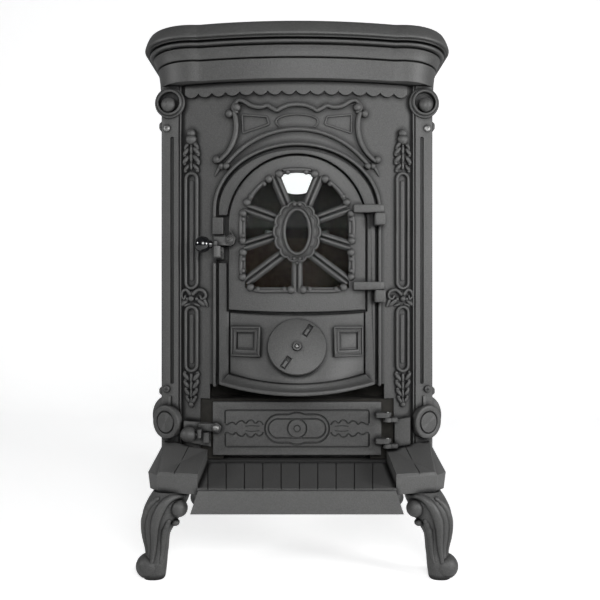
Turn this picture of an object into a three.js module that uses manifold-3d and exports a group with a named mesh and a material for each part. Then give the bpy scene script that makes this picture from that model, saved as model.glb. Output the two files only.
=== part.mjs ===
// A cast-iron potbelly stove: bowed front with an arched grille door, a bulged air panel with a
// spinner, an ash door over a ribbed hearth, and four cabriole legs.
// Millimetres. X is right, Y is back, Z is up; the floor is Z = 0 and the front faces -Y.
import * as THREE from 'three';
import { mergeVertices } from 'three/addons/utils/BufferGeometryUtils.js';
import Module from 'manifold-3d';

const wasm = await Module();
wasm.setup();

// ---- Driving dimensions ----
const gap = 0.3; // left between castings that touch
const detail = 0.05; // the finest relief kept on a surface
const wall = 7; // thickness of the wall castings
const legHeight = 124; // floor to the pads of the base casting
const padDrop = 13; // pads and wings reach this far below the base plate
const baseThickness = 10;
const bodyHeight = 599; // base plate to the foot of the cornice
const bodyWidth = 428; // over the side panels
const frontY = -106; // front panel on the centre line
const rearY = 172; // outside of the rear panel
const bowRadius = 718; // plan radius of the front
const bowStep = THREE.MathUtils.degToRad(3); // facets of the bow

const friezeHeight = 31;
const fasciaHeight = 18;
const beadHeight = 8.5;
const nosingHeight = 26;
const corniceOver = 7; // the cornice's foot stands out this far past the side panels
const corniceForward = 12; // and this far past the front panel
const corniceBack = 8;
const corniceWall = 6;
const corniceLedge = 24; // its foot reaches in by this, over the tops of the walls
const earRadius = 58; // plan radius of the front corners
const earDip = 50; // plan radius of the hollow between the bow and a corner
const earTurn = THREE.MathUtils.degToRad(4);

const doorRadius = 107; // arched top of the fire door
const doorArch = 373; // arch centre above the base plate
const doorFoot = 240; // lower edge of the door above the base plate, at its corners
const doorSag = 4; // the door's lower edge bows down by this
const doorSeat = 5; // back of the door in front of the panel
const doorThickness = 7;
const doorLap = 8; // the door covers its opening by this
const fireOpening = doorRadius - doorLap; // half width of the opening
const windowBorder = 29; // door between its edge and its window
const windowRadius = doorRadius - windowBorder;
const windowFoot = 281; // lower edge of the window above the base plate
const rimRadius = 4.5; // bead round the window
const spokeWidth = 14;
const spokeAngles = [24.7, 63.4, 103, 134]; // each side of the top, with one more straight down
const hubDrop = 12; // the medallion's centre lies this far below the arch centre
const hubHalfWidth = 37; // medallion
const hubHalfHeight = 48.5;
const eyeHalfWidth = 17.6; // oval hole in the medallion
const eyeHalfHeight = 33.3;

const frameInner = doorRadius + 3.8; // raised strip round the door
const frameOuter = frameInner + 9.7;
const frameProud = 7;
const archBead = frameOuter + 8; // bead outside the strip
const archBeadRadius = 4.2;
const frameFoot = 121; // lower end of the strip above the base plate

const hingeX = archBead + 1; // fire-door hinge line
const hingeY = frontY - 9;
const hingeFeet = [251.6, 372]; // lower faces of the two knuckles above the base plate
const knuckleHeight = 19;
const knuckleWidth = 17;
const armHeight = 12.4;
const pinRadius = 3.3;
const pinClearance = 0.35;

const airHalfWidth = frameInner - 5.8; // bulged air panel
const airTop = 235.3; // its top edge above the base plate, at its sides
const airFoot = 138; // its foot above the base plate, at its sides
const airDrop = 10; // the foot bows down by this
const airBulge = 40; // and out by this
const airLift = 6;
const mouldingHeight = 16;
const mouldingSpread = 15;
const discRadius = 44.5;
const discThickness = 6;
const discHeight = 181; // centre above the base plate
const discGap = 1.2; // stands open by this
const discTravel = 8;
const hubRadius = 7;
const studRadius = 3;

const ashDoorWidth = 268;
const ashDoorFoot = 8; // above the base plate
const ashDoorHeight = 85;
const ashDoorY = -97; // front face
const ashHingeX = ashDoorWidth / 2 + 9;
const ashHingeY = -103;
const ashLugFeet = [28, 69.3]; // lower faces of the ash door's lugs above the base plate
const ashLugHeight = 8;
const ashSocketDepth = 4.8; // the bracket's lugs hold the pins to this depth
const ashSocketFloor = 1.6; // and are this thick below them
const ashRecess = ashDoorWidth / 2 + 20.5; // half width of the recess round the ash door
const ashRecessUpper = ashDoorWidth / 2 + 5; // and above the door
const ashRecessStep = 97.5; // where it changes, above the base plate
const panHalfWidth = ashDoorWidth / 2 - 22;
const panHeight = 80;
const panDepth = 180;
const panWall = 2;

const hearthDepth = 116;
const hearthHalfWidth = 140;
const hearthSlope = 4;
const hearthLip = 34;
const hearthFlare = 12;
const hearthRibs = 11;
const hearthRibStep = 25.5;

const flueRadius = 59;
const flueWall = 5;
const flueHeight = 522; // centre above the base plate
const flueLength = 43;
const flueFlange = 76;

const brickThickness = 24;
const brickHeight = 240;
const grateHeight = 121; // underside of the grate frame above the base plate
const grateThickness = 12;
const grateWidth = 210;
const grateDepth = 165;

// ---- Places worked out from the driving dimensions ----
const baseUnder = legHeight + padDrop;
const baseTop = baseUnder + baseThickness;
const bodyTop = baseTop + bodyHeight;
const halfBody = bodyWidth / 2;
const bowCentreY = frontY + bowRadius;
const archZ = baseTop + doorArch;
const baseFrontY = frontY + 8;
const hearthFrontY = baseFrontY - gap - hearthDepth - 0.5;
const flueEndY = rearY + flueLength;
const middleY = (hearthFrontY + flueEndY) / 2;
const corniceTop = bodyTop + friezeHeight + fasciaHeight + beadHeight;

// ---- Ways to make solids ----
const turn = (x, y, z) => new THREE.Vector3(x, y, z);

function solid(geometry) {
  const plain = geometry.clone();
  plain.deleteAttribute('normal');
  plain.deleteAttribute('uv');
  const merged = mergeVertices(plain, 1e-4);
  const faces = [];
  const order = merged.index.array;
  for (let i = 0; i < order.length; i += 3) {
    const [a, b, c] = [order[i], order[i + 1], order[i + 2]];
    if (a !== b && b !== c && c !== a) faces.push(a, b, c);
  }
  const shape = { numProp: 3, vertProperties: merged.attributes.position.array };
  return new wasm.Manifold(new wasm.Mesh({ ...shape, triVerts: new Uint32Array(faces) }));
}

const join = (...solids) => wasm.Manifold.union(solids.flat());

function geometryOf(manifold) {
  const { vertProperties, triVerts } = manifold.getMesh();
  const geometry = new THREE.BufferGeometry();
  geometry.setAttribute('position', new THREE.BufferAttribute(vertProperties, 3));
  geometry.setIndex(new THREE.BufferAttribute(triVerts, 1));
  geometry.computeVertexNormals();
  return geometry;
}

function box(x0, x1, y0, y1, z0, z1) {
  const geometry = new THREE.BoxGeometry(x1 - x0, y1 - y0, z1 - z0);
  return solid(geometry.translate((x0 + x1) / 2, (y0 + y1) / 2, (z0 + z1) / 2));
}

function rodY(x, z, radius, y0, y1, sides = 16) {
  const geometry = new THREE.CylinderGeometry(radius, radius, y1 - y0, sides);
  return solid(geometry.translate(x, (y0 + y1) / 2, z));
}

function rodZ(x, y, radius, z0, z1, sides = 16) {
  const geometry = new THREE.CylinderGeometry(radius, radius, z1 - z0, sides);
  return solid(geometry.rotateX(Math.PI / 2).translate(x, y, (z0 + z1) / 2));
}

const ball = (x, y, z, radius, sides = 8) =>
  solid(new THREE.SphereGeometry(radius, sides, Math.ceil(sides * 0.6)).translate(x, y, z));

// An outline in the X-Z plane, carried along Y.
function prism(shape, y0, y1, curveSegments = 12) {
  const geometry = new THREE.ExtrudeGeometry(shape, { depth: y1 - y0, bevelEnabled: false, curveSegments });
  return solid(geometry.rotateX(Math.PI / 2).translate(0, y1, 0));
}

// An outline in the X-Y plane, carried along Z.
function column(points, z0, z1) {
  const shape = new THREE.Shape(points.map(([x, y]) => new THREE.Vector2(x, y)));
  return solid(new THREE.ExtrudeGeometry(shape, { depth: z1 - z0, bevelEnabled: false }).translate(0, 0, z0));
}

// An outline in the Y-Z plane, carried along X.
function bar(points, x0, x1) {
  const shape = new THREE.Shape(points.map(([y, z]) => new THREE.Vector2(y, z)));
  const geometry = new THREE.ExtrudeGeometry(shape, { depth: x1 - x0, bevelEnabled: false });
  const basis = new THREE.Matrix4().makeBasis(turn(0, 1, 0), turn(0, 0, 1), turn(1, 0, 0));
  return solid(geometry.applyMatrix4(basis).translate(x0, 0, 0));
}

const outline = (points) => new THREE.Shape(points.map(([x, z]) => new THREE.Vector2(x, z)));

// The front's surface, moved forward by proud.
const bowY = (x, proud = 0) => bowCentreY - Math.sqrt((bowRadius + proud) ** 2 - x * x);

function slab(back, front) {
  const points = [];
  const steps = Math.ceil(Math.asin(halfBody / bowRadius) / bowStep);
  for (let k = -steps; k <= steps; k++) {
    points.push([Math.sin(k * bowStep) * (bowRadius + front), bowCentreY - Math.cos(k * bowStep) * (bowRadius + front)]);
  }
  for (let k = steps; k >= -steps; k--) {
    points.push([Math.sin(k * bowStep) * (bowRadius + back), bowCentreY - Math.cos(k * bowStep) * (bowRadius + back)]);
  }
  return column(points, baseTop - 20, bodyTop + 20);
}

// A piece of the bowed front: its outline from the front, between two depths.
const onBow = (shape, back, front, curveSegments) =>
  prism(shape, frontY - 60, frontY + 90, curveSegments).intersect(slab(back, front));

// A half-round bead that follows the bow through points given as [x, z].
function bead(points, radius, lift = 0, steps = points.length * 2, sides = 6) {
  const path = new THREE.CatmullRomCurve3(points.map(([x, z]) => turn(x, bowY(x, lift), z)));
  const section = new THREE.Shape();
  for (let k = 0; k < sides; k++) {
    const angle = ((k + 0.5) * 2 * Math.PI) / sides;
    section[k ? 'lineTo' : 'moveTo'](radius * Math.cos(angle), radius * Math.sin(angle));
  }
  return solid(new THREE.ExtrudeGeometry(section, { steps, extrudePath: path }));
}

const stud = (x, z, radius, lift = 0, sides = 8) => ball(x, bowY(x, lift), z, radius, sides);

// An arch: straight sides up to centreZ and a half circle above.
function arch(halfWidth, centreZ, footZ, sag = 0) {
  const shape = new THREE.Shape();
  shape.moveTo(-halfWidth, footZ);
  if (sag) shape.quadraticCurveTo(0, footZ - 2 * sag, halfWidth, footZ);
  else shape.lineTo(halfWidth, footZ);
  shape.lineTo(halfWidth, centreZ);
  shape.absarc(0, centreZ, halfWidth, 0, Math.PI, false);
  return shape;
}

// The strip between two arches, open at the foot.
function archStrip(outer, inner, centreZ, footZ) {
  const shape = new THREE.Shape();
  shape.moveTo(outer, footZ);
  shape.lineTo(outer, centreZ);
  shape.absarc(0, centreZ, outer, 0, Math.PI, false);
  shape.lineTo(-outer, footZ);
  shape.lineTo(-inner, footZ);
  shape.lineTo(-inner, centreZ);
  shape.absarc(0, centreZ, inner, Math.PI, 0, true);
  shape.lineTo(inner, footZ);
  return shape;
}

// A loop with round ends, standing upright.
function loop(x, z0, z1, radius) {
  const shape = new THREE.Shape();
  shape.absarc(x, z1 - radius, radius, 0, Math.PI, false);
  shape.absarc(x, z0 + radius, radius, Math.PI, 2 * Math.PI, false);
  return shape;
}

function oval(x, z, halfWidth, halfHeight, points, scallop = 0, scallops = 0) {
  return outline(
    Array.from({ length: points }, (_, k) => {
      const angle = (k * 2 * Math.PI) / points;
      const swell = 1 + scallop * Math.cos(scallops * angle);
      return [x + halfWidth * swell * Math.cos(angle), z + halfHeight * swell * Math.sin(angle)];
    }),
  );
}

// Faces between rings of equally many points; the ends are capped, or joined to each other.
function loft(rings, closed = false) {
  const count = rings[0].length;
  const positions = rings.flat(2);
  const faces = [];
  const last = closed ? rings.length : rings.length - 1;
  for (let j = 0; j < last; j++) {
    const next = (j + 1) % rings.length;
    for (let i = 0; i < count; i++) {
      const [a, b] = [j * count + i, j * count + ((i + 1) % count)];
      const [c, d] = [next * count + ((i + 1) % count), next * count + i];
      faces.push(a, b, c, a, c, d);
    }
  }
  if (!closed) {
    const start = (rings.length - 1) * count;
    faces.push(...capFaces(rings[0]).flatMap(([a, b, c]) => [a, c, b]));
    faces.push(...capFaces(rings[rings.length - 1]).flat().map((i) => start + i));
  }
  const geometry = new THREE.BufferGeometry();
  geometry.setAttribute('position', new THREE.Float32BufferAttribute(positions, 3));
  geometry.setIndex(faces);
  const made = solid(geometry);
  if (made.volume() > 0) return made;
  const flipped = [];
  for (let i = 0; i < faces.length; i += 3) flipped.push(faces[i], faces[i + 2], faces[i + 1]);
  geometry.setIndex(flipped);
  return solid(geometry);
}

// A ring's cap, its triangles running the same way round as the ring.
function capFaces(ring) {
  const area = (u, v) => ring.reduce((sum, p, i) => {
    const q = ring[(i + 1) % ring.length];
    return sum + p[u] * q[v] - q[u] * p[v];
  }, 0);
  const planes = [[0, 1], [1, 2], [2, 0]].sort((p, q) => Math.abs(area(...q)) - Math.abs(area(...p)));
  const [u, v] = planes[0];
  const flat = ring.map((p) => new THREE.Vector2(p[u], p[v]));
  return THREE.ShapeUtils.triangulateShape(flat, []).map(([a, b, c]) => {
    const turned = THREE.ShapeUtils.area([flat[a], flat[b], flat[c]]) * area(u, v) < 0;
    return turned ? [a, c, b] : [a, b, c];
  });
}

// ---- Crown and cornice ----
// Stations round the cornice's foot: a point and its outward direction.
function planStations() {
  const half = [];
  const radius = bowRadius + corniceForward;
  const side = halfBody + corniceOver;
  const centre = frontY - corniceForward + radius;
  const reach = side - earDip * Math.sin(earTurn) - earRadius * (1 + Math.sin(earTurn));
  const bowEnd = Math.asin(reach / (radius + earDip));
  const out = (angle) => [Math.sin(angle), -Math.cos(angle)];
  const arc = (cx, cy, r, a0, a1, steps, hollow = false) => {
    for (let k = 1; k <= steps; k++) {
      const [nx, ny] = out(a0 + ((a1 - a0) * k) / steps);
      const r1 = hollow ? -r : r;
      half.push([cx + r1 * nx, cy + r1 * ny, nx, ny]);
    }
  };
  arc(0, centre, radius, 0, bowEnd, 6);
  const [ex, ey] = half[half.length - 1];
  const dip = out(bowEnd);
  const [dx, dy] = [ex + dip[0] * earDip, ey + dip[1] * earDip];
  arc(dx, dy, earDip, bowEnd, -earTurn, 2, true);
  const [fx, fy] = half[half.length - 1];
  const ear = out(-earTurn);
  arc(fx - ear[0] * earRadius, fy - ear[1] * earRadius, earRadius, -earTurn, Math.PI / 2, 6);
  const rearRadius = corniceLedge + 2;
  half.push([side, rearY + corniceBack - rearRadius, 1, 0]);
  arc(side - rearRadius, rearY + corniceBack - rearRadius, rearRadius, Math.PI / 2, Math.PI, 2);
  const mirrored = half.map(([x, y, nx, ny]) => [-x, y, -nx, ny]).reverse();
  return [[0, centre - radius, 0, -1], ...half, ...mirrored];
}

// Rings for a moulding: the profile's points are [out, z] from the cornice's foot.
const mouldingRings = (profile) =>
  profile.map(([out, z]) => planStations().map(([x, y, nx, ny]) => [x + out * nx, y + out * ny, z]));

function cornice() {
  const friezeTop = bodyTop + friezeHeight;
  const fasciaTop = friezeTop + fasciaHeight;
  const profile = [
    [0, bodyTop],
    [5, friezeTop - 1.5],
    [7, friezeTop],
    [10.5, friezeTop + 2.5],
    [13, fasciaTop - 1],
    [16, fasciaTop],
    [18.5, fasciaTop + 3],
    [18, corniceTop - 2],
    [15, corniceTop],
    [5 - corniceWall, corniceTop],
    [-corniceWall, bodyTop + corniceWall],
    [-corniceLedge, bodyTop + corniceWall],
    [-corniceLedge, bodyTop],
  ];
  return loft(mouldingRings(profile), true);
}

function topPlate() {
  const foot = corniceTop + gap;
  const top = corniceTop + nosingHeight;
  const plate = 9;
  return loft(
    mouldingRings([
      [0, top - plate],
      [3, foot],
      [24, foot],
      [28.5, foot + 1.5],
      [30, foot + 6],
      [28.5, foot + 13],
      [23, foot + 20],
      [14, top - 1.2],
      [6, top],
    ]),
  );
}

// ---- Front panel ----
function scallopedApron() {
  const lobes = 16;
  const pitch = 22;
  const drop = 16.5;
  const depth = 6;
  const halfWidth = (lobes * pitch) / 2;
  const points = [[halfWidth, bodyTop - gap], [-halfWidth, bodyTop - gap]];
  for (let lobe = 0; lobe < lobes; lobe++) {
    for (const [along, down] of [[0, 0], [0.25, 0.8], [0.5, 1], [0.75, 0.8]]) {
      points.push([-halfWidth + (lobe + along) * pitch, bodyTop - drop - down * depth]);
    }
  }
  points.push([halfWidth, bodyTop - drop]);
  return onBow(outline(points), -1, 4);
}

// Raised frame over the arch, given by its right-hand half as [x, height above the arch centre].
function headerOrnament() {
  const mirrored = (half) => [...half.map(([x, z]) => [-x, z]).reverse(), ...half.filter(([x]) => x)];
  const placed = (points) => points.map(([x, z]) => [x, archZ + z]);
  const crest = [[0, 190], [16, 188], [30.7, 181.5], [40, 186], [47, 188], [64, 184.5], [80, 190.5], [93, 196]];
  const flank = [[99, 181], [94.5, 166], [97, 146], [105, 127], [122, 109]];
  const innerRadius = 142.5;
  const innerDrop = 8;
  const inner = Array.from({ length: 9 }, (_, k) => {
    const angle = ((k - 4) / 4) * 0.89;
    return [innerRadius * Math.sin(angle), innerRadius * Math.cos(angle) + innerDrop];
  });
  const pieces = [
    bead(placed(mirrored(crest)), 3.4, 1.5, 18, 5),
    bead(placed(inner), 3.2, 1.5, 12, 5),
  ];
  for (const side of [-1, 1]) {
    pieces.push(bead(placed(flank.map(([x, z]) => [side * x, z])), 3.4, 1.5, 6, 5));
    for (const [x, z, radius] of [[94, 192, 5], [104, 180, 5.5], [126, 105, 5.5], [113, 96, 5], [124, 94, 5]]) {
      pieces.push(stud(side * x, archZ + z, radius, 1, 6));
    }
    const tip = outline([[side * 118, archZ + 98], [side * 128, archZ + 98], [side * 130, archZ + 80]]);
    pieces.push(onBow(tip, -1, 4));
  }
  return pieces;
}

// Loops, finials and a scroll down each side of the panel.
function sideOrnament(side) {
  const x = side * (halfBody - 44.7);
  const [outer, inner] = [11, 6.4];
  const at = (z) => baseTop + z;
  const pieces = [];
  for (const [z0, z1] of [[273, 458], [141, 244]]) {
    const shape = loop(x, at(z0), at(z1), outer);
    shape.holes.push(loop(x, at(z0) + outer - inner, at(z1) - outer + inner, inner));
    pieces.push(onBow(shape, -1, 3.6, 4));
  }
  const knobs = [
    [0, 518, 7], [-7, 505, 5], [7, 505, 5], [0, 491, 6], [-7, 477, 5], [7, 477, 5],
    [-11.5, 258, 7.5], [11.5, 258, 7.5], [0, 259, 7],
    [0, 129, 7], [-8, 118, 5], [8, 118, 5], [0, 104, 5.5],
  ];
  for (const [across, z, radius] of knobs) pieces.push(stud(x + across, at(z), radius, 0, 5));
  return pieces;
}

function knuckle(z0) {
  const block = box(hingeX - knuckleWidth / 2, hingeX + knuckleWidth / 2, hingeY - 7.5, bowY(hingeX) + 3, z0, z0 + knuckleHeight);
  const hole = rodZ(hingeX, hingeY, pinRadius + pinClearance, z0 + 4, z0 + knuckleHeight + 1);
  return [block, hole];
}

const lapX = halfBody - 28.7; // the pilasters lap over the panel from here outwards
const lapBox = (side) => box(Math.min(side * lapX, side * halfBody), Math.max(side * lapX, side * halfBody), frontY - 60, rearY, baseTop, bodyTop);
const pocketY = frontY + 11.5; // floor of the pocket that holds the fire door's catch

function frontPanel() {
  const half = halfBody - 19;
  const face = outline([
    [-half, baseTop + gap], [-ashRecess, baseTop + gap], [-ashRecess, baseTop + ashRecessStep],
    [-ashRecessUpper, baseTop + ashRecessStep], [-ashRecessUpper, baseTop + frameFoot],
    [ashRecessUpper, baseTop + frameFoot], [ashRecessUpper, baseTop + ashRecessStep],
    [ashRecess, baseTop + ashRecessStep], [ashRecess, baseTop + gap],
    [half, baseTop + gap], [half, bodyTop - gap], [-half, bodyTop - gap],
  ]);
  face.holes.push(arch(fireOpening, archZ, baseTop + doorFoot + 8));
  face.holes.push(outline([
    [-airHalfWidth + 20, baseTop + airFoot + 7], [airHalfWidth - 20, baseTop + airFoot + 7],
    [airHalfWidth - 20, baseTop + airTop - 12], [-airHalfWidth + 20, baseTop + airTop - 12],
  ]));
  const strip = onBow(archStrip(frameOuter, frameInner, archZ, baseTop + frameFoot), -1, frameProud);
  const arcPoints = Array.from({ length: 17 }, (_, k) => {
    const angle = Math.PI - (k * Math.PI) / 16;
    return [archBead * Math.cos(angle), archZ + archBead * Math.sin(angle)];
  });
  const lift = 3;
  const arcBead = bead(arcPoints, archBeadRadius, lift, 18, 5);
  const pocket = [baseTop + 313, baseTop + 341];
  const straight = (x, z0, z1) => bead([[x, z0], [x, z1]], archBeadRadius, lift, 1);
  const foot = baseTop + frameFoot;
  const lower = knuckleHeight + hingeFeet[0] + baseTop;
  const upper = baseTop + hingeFeet[1];
  const [padFoot, padTop] = [baseTop + 358.6, baseTop + 385.7];
  const padEdges = [-archBead - 5.5, -frameInner];
  const pad = onBow(outline([[padEdges[0], padFoot], [padEdges[1], padFoot], [padEdges[1], padTop], [padEdges[0], padTop]]), -1, frameProud + 0.3);
  const sides = [
    straight(-archBead, foot, pocket[0]), straight(-archBead, padTop - 1, archZ),
    straight(archBead, foot, baseTop + hingeFeet[0] + 1), straight(archBead, lower - 1, upper + 1),
  ];
  const knuckles = hingeFeet.map((z) => knuckle(baseTop + z));
  let panel = join(
    onBow(face, -wall, 0), strip, arcBead, ...sides, pad, scallopedApron(), ...headerOrnament(),
    ...sideOrnament(-1), ...sideOrnament(1), ...knuckles.map(([block]) => block),
  );
  const cut = box(-archBead - 6, -frameInner - 2, frontY - 40, pocketY, pocket[0], pocket[1]);
  panel = panel.subtract(join(cut, ...knuckles.map(([, hole]) => hole)));
  // Anything that stands past the panel's outline is trimmed to it.
  return panel.subtract(join(
    box(-halfBody - 50, -half, frontY - 60, rearY, baseTop - 30, bodyTop + 30),
    box(half, halfBody + 50, frontY - 60, rearY, baseTop - 30, bodyTop + 30),
    ...[-1, 1].map((side) => slab(0.01, 30).intersect(lapBox(side))),
  ));
}

// ---- Corner pilasters ----
const pilasterTurn = THREE.MathUtils.degToRad(12);
const pilasterFace = [halfBody - 12, frontY + 23]; // a point on the right pilaster's face
const rosettePlace = { x: halfBody - 9.5, y: frontY + 23, z: baseTop + 572, turn: THREE.MathUtils.degToRad(7) };
const bossPlace = { x: halfBody - 7.5, y: frontY + 26.7, z: baseTop + 58.7, turn: THREE.MathUtils.degToRad(31) };
const pilasterScrewZ = [baseTop + 111.5, baseTop + 531.5];
const screwAcross = 5.5; // the screws stand this far outwards of that point

// Moves a piece made facing -Y at the origin to a place on the right-hand corner.
function atCorner(geometry, { x, y, z, turn: angle }) {
  return solid(geometry.rotateZ(angle).translate(x, y, z));
}

const onPilaster = (geometry, z) => atCorner(geometry, { x: pilasterFace[0], y: pilasterFace[1], z, turn: pilasterTurn });

// A turned disc facing -Y; the profile is [radius, forward].
function turned(profile, sides = 20) {
  const points = profile.map(([r, forward]) => new THREE.Vector2(r, forward));
  return new THREE.LatheGeometry(points, sides).rotateX(Math.PI);
}

function pilaster() {
  const edge = halfBody;
  const surface = (x) => bowY(x, gap);
  const face = (x) => pilasterFace[1] + (x - pilasterFace[0]) * Math.tan(pilasterTurn);
  const inside = edge - 28.2;
  const points = [
    [inside, surface(inside)], [inside + 0.2, face(inside)], [inside + 2.5, face(inside + 2.5)], [inside + 2.8, face(inside + 2.8) + 1.6],
    [inside + 4, face(inside + 4) + 1.6], [inside + 4.4, face(inside + 4.4)], [edge, face(edge)], [edge + 2.4, frontY + 27.6],
    [edge + 3, frontY + 31], [edge + 3, frontY + 54], [edge - 4, frontY + 54], [edge - 4, frontY + 47],
    [edge - 17.8, frontY + 36], [edge - 18.4, surface(edge - 18.4)], [edge - 27, surface(edge - 27)],
  ];
  const post = column(points, baseTop + gap, bodyTop - gap);
  const shoulders = [[98, 117], [526, 546]].map(([z0, z1]) => {
    const shape = outline([[edge, baseTop + z0], [edge + 7, baseTop + z0 + 5], [edge + 7, baseTop + z1 - 5], [edge, baseTop + z1]]);
    return prism(shape, frontY + 29, frontY + 44);
  });
  const rosette = turned([
    [0, -4.4], [8.5, -4.4], [8.5, -2.4], [25.5, -2.4], [25.5, 1.4], [24.3, 2.4], [21.6, 2.6], [21, 5], [19, 6.4], [16.6, 4.6],
    [14.2, 4.4], [13.2, 7.4], [10.4, 11.6], [6, 14.2], [0, 15],
  ]);
  const flange = atCorner(turned([[0, -2.4], [34, -2.4], [34, 1.2], [32.6, 2.6], [0, 2.6]], 28), { ...bossPlace, z: bossPlace.z + 8 })
    .intersect(box(edge - 15, edge + 60, frontY - 60, rearY, baseTop, bodyTop));
  const boss = turned([[0, -5], [14, -5], [14, -1], [27, -1], [27, 8.4], [25.8, 9.8], [18.6, 9.8], [17.6, 8.6], [16.6, 9.8], [0, 10.4]], 24);
  const slot = prism(loop(0, baseTop + 119.5, baseTop + 517.6, 2.7), -4, 3.5, 4);
  const groove = onPilaster(geometryOf(slot).translate(-3.4, 0, 0), 0);
  const holes = pilasterScrewZ.map((z) => onPilaster(new THREE.CylinderGeometry(3.3, 3.3, 20, 12).translate(screwAcross, 0, 0), z));
  return join(
    post, ...shoulders, atCorner(rosette, rosettePlace), flange, atCorner(boss, bossPlace),
  ).subtract(join(groove, ...holes));
}

function pilasterScrew(z) {
  const head = turned([[0, -6], [3, -6], [3, 0.3], [5.5, 0.3], [5.5, 1.4], [3.8, 2.9], [0, 3.4]], 12);
  return onPilaster(head.translate(screwAcross, 0, 0), z);
}

// ---- Side and rear walls, flue ----
const wallFrontY = frontY + 54 + 0.5;

function sidePanel() {
  const inner = halfBody - wall;
  const face = box(inner, halfBody, wallFrontY, rearY - wall - gap, baseTop + gap, bodyTop - gap);
  const margin = 26;
  const raised = box(halfBody - 1, halfBody + 2, wallFrontY + margin, rearY - wall - margin, baseTop + 40, bodyTop - 40);
  const field = box(halfBody, halfBody + 4, wallFrontY + margin + 9, rearY - wall - margin - 9, baseTop + 49, bodyTop - 49);
  const ledge = box(inner - 10, inner + 1, wallFrontY, rearY - wall - gap, baseTop + grateHeight - 8 - gap, baseTop + grateHeight - gap);
  return join(face, raised.subtract(field), ledge);
}

function rearPanel() {
  const face = box(-halfBody, halfBody, rearY - wall, rearY, baseTop + gap, bodyTop - gap);
  const z = baseTop + flueHeight;
  const holes = [-1, 1].map((side) => rodY(side * (flueRadius + flueWall + 6.8), z, 4.3, rearY - wall - 1, rearY + 1, 12));
  return face.subtract(join(rodY(0, z, flueRadius, rearY - wall - 1, rearY + 1, 40), ...holes));
}

function flueCollar() {
  const z = baseTop + flueHeight;
  const flange = rodY(0, z, flueFlange, rearY + gap, rearY + 7, 40);
  const spigot = rodY(0, z, flueRadius + flueWall, rearY + gap, flueEndY, 40);
  const holes = [-1, 1].map((side) => rodY(side * (flueRadius + flueWall + 6.8), z, 4.3, rearY, rearY + 9, 12));
  return join(flange, spigot).subtract(join(rodY(0, z, flueRadius, rearY, flueEndY + 1, 40), ...holes));
}

function flueBolt(side) {
  const x = side * (flueRadius + flueWall + 6.8);
  const z = baseTop + flueHeight;
  return join(rodY(x, z, 4, rearY - wall - 4, rearY + 8, 12), rodY(x, z, 6, rearY + 7 + gap, rearY + 12, 6));
}

// ---- Base, hearth and legs ----
const legX = halfBody - 33;
const legFrontY = frontY - 66;
const legRearY = rearY - 34;
const rearInset = 26; // the rear legs stand this much closer together
const wingInner = hearthHalfWidth + 2;
const flangeBolt = [13, 37]; // leg bolt from the leg's middle, towards the body

function wing() {
  const back = baseFrontY - 2.5;
  const ring = (cornerX, outer, [outerBack, backY], heights) => [
    [wingInner, back], [wingInner, frontY - 100], [cornerX, frontY - 84], [outer, frontY - 66], [outerBack, backY], [halfBody - 18, frontY + 17],
  ].map(([x, y], k) => [x, y, heights[k] ?? heights[0]]);
  const shape = loft([
    ring(halfBody - 12, halfBody + 3, [halfBody + 3, frontY + 20], [legHeight]),
    ring(halfBody - 10, halfBody + 6, [halfBody + 10, frontY + 16], [legHeight + 24]),
    ring(halfBody - 14, halfBody - 9, [halfBody - 2, frontY + 20], [41, 29.5, 28.5, 28.5, 52, 46].map((rise) => legHeight + rise)),
  ]);
  const slabUnder = box(wingInner, halfBody + 2, frontY + 4, frontY + 66, legHeight, baseTop);
  const score = box(-0.6, 0.6, -130, 10, -1.4, 6);
  const run = geometryOf(score).rotateX(0.158).rotateZ(0.05).translate(halfBody - 42, frontY + 14, legHeight + 45);
  return join(shape, slabUnder).subtract(solid(run));
}

function basePlate() {
  const right = [
    [wingInner - 1, baseFrontY], [halfBody - 14, baseFrontY + 6], [halfBody + 2, frontY + 34], [halfBody + 2, rearY + 3],
  ];
  const plate = column([...right, ...right.map(([x, y]) => [-x, y]).reverse()], baseUnder, baseTop);
  const rightWing = wing();
  const leftWing = solid(flipX(geometryOf(rightWing)));
  const pads = [-1, 1].map((side) => {
    const x = side * (legX - rearInset);
    return box(x - 36, x + 36, legRearY - 52, rearY + 3, legHeight, baseUnder + 1);
  });
  const holes = legPlaces.map(({ x, y, side, depth }) => {
    const [bx, by] = [x - side * flangeBolt[0], y - depth * flangeBolt[1]];
    return rodZ(bx, by, 4.3, legHeight - 1, legHeight + 12, 12);
  });
  return join(plate, rightWing, leftWing, ...pads).subtract(join(...holes));
}

function flipX(geometry) {
  const mirrored = geometry.clone().scale(-1, 1, 1);
  const order = Array.from(mirrored.index.array);
  for (let i = 0; i < order.length; i += 3) [order[i + 1], order[i + 2]] = [order[i + 2], order[i + 1]];
  mirrored.setIndex(order);
  return mirrored;
}

const legPlaces = [
  { name: 'front_left', x: -legX, y: legFrontY, side: -1, depth: -1 },
  { name: 'front_right', x: legX, y: legFrontY, side: 1, depth: -1 },
  { name: 'rear_left', x: -legX + rearInset, y: legRearY, side: -1, depth: 1 },
  { name: 'rear_right', x: legX - rearInset, y: legRearY, side: 1, depth: 1 },
];

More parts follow.
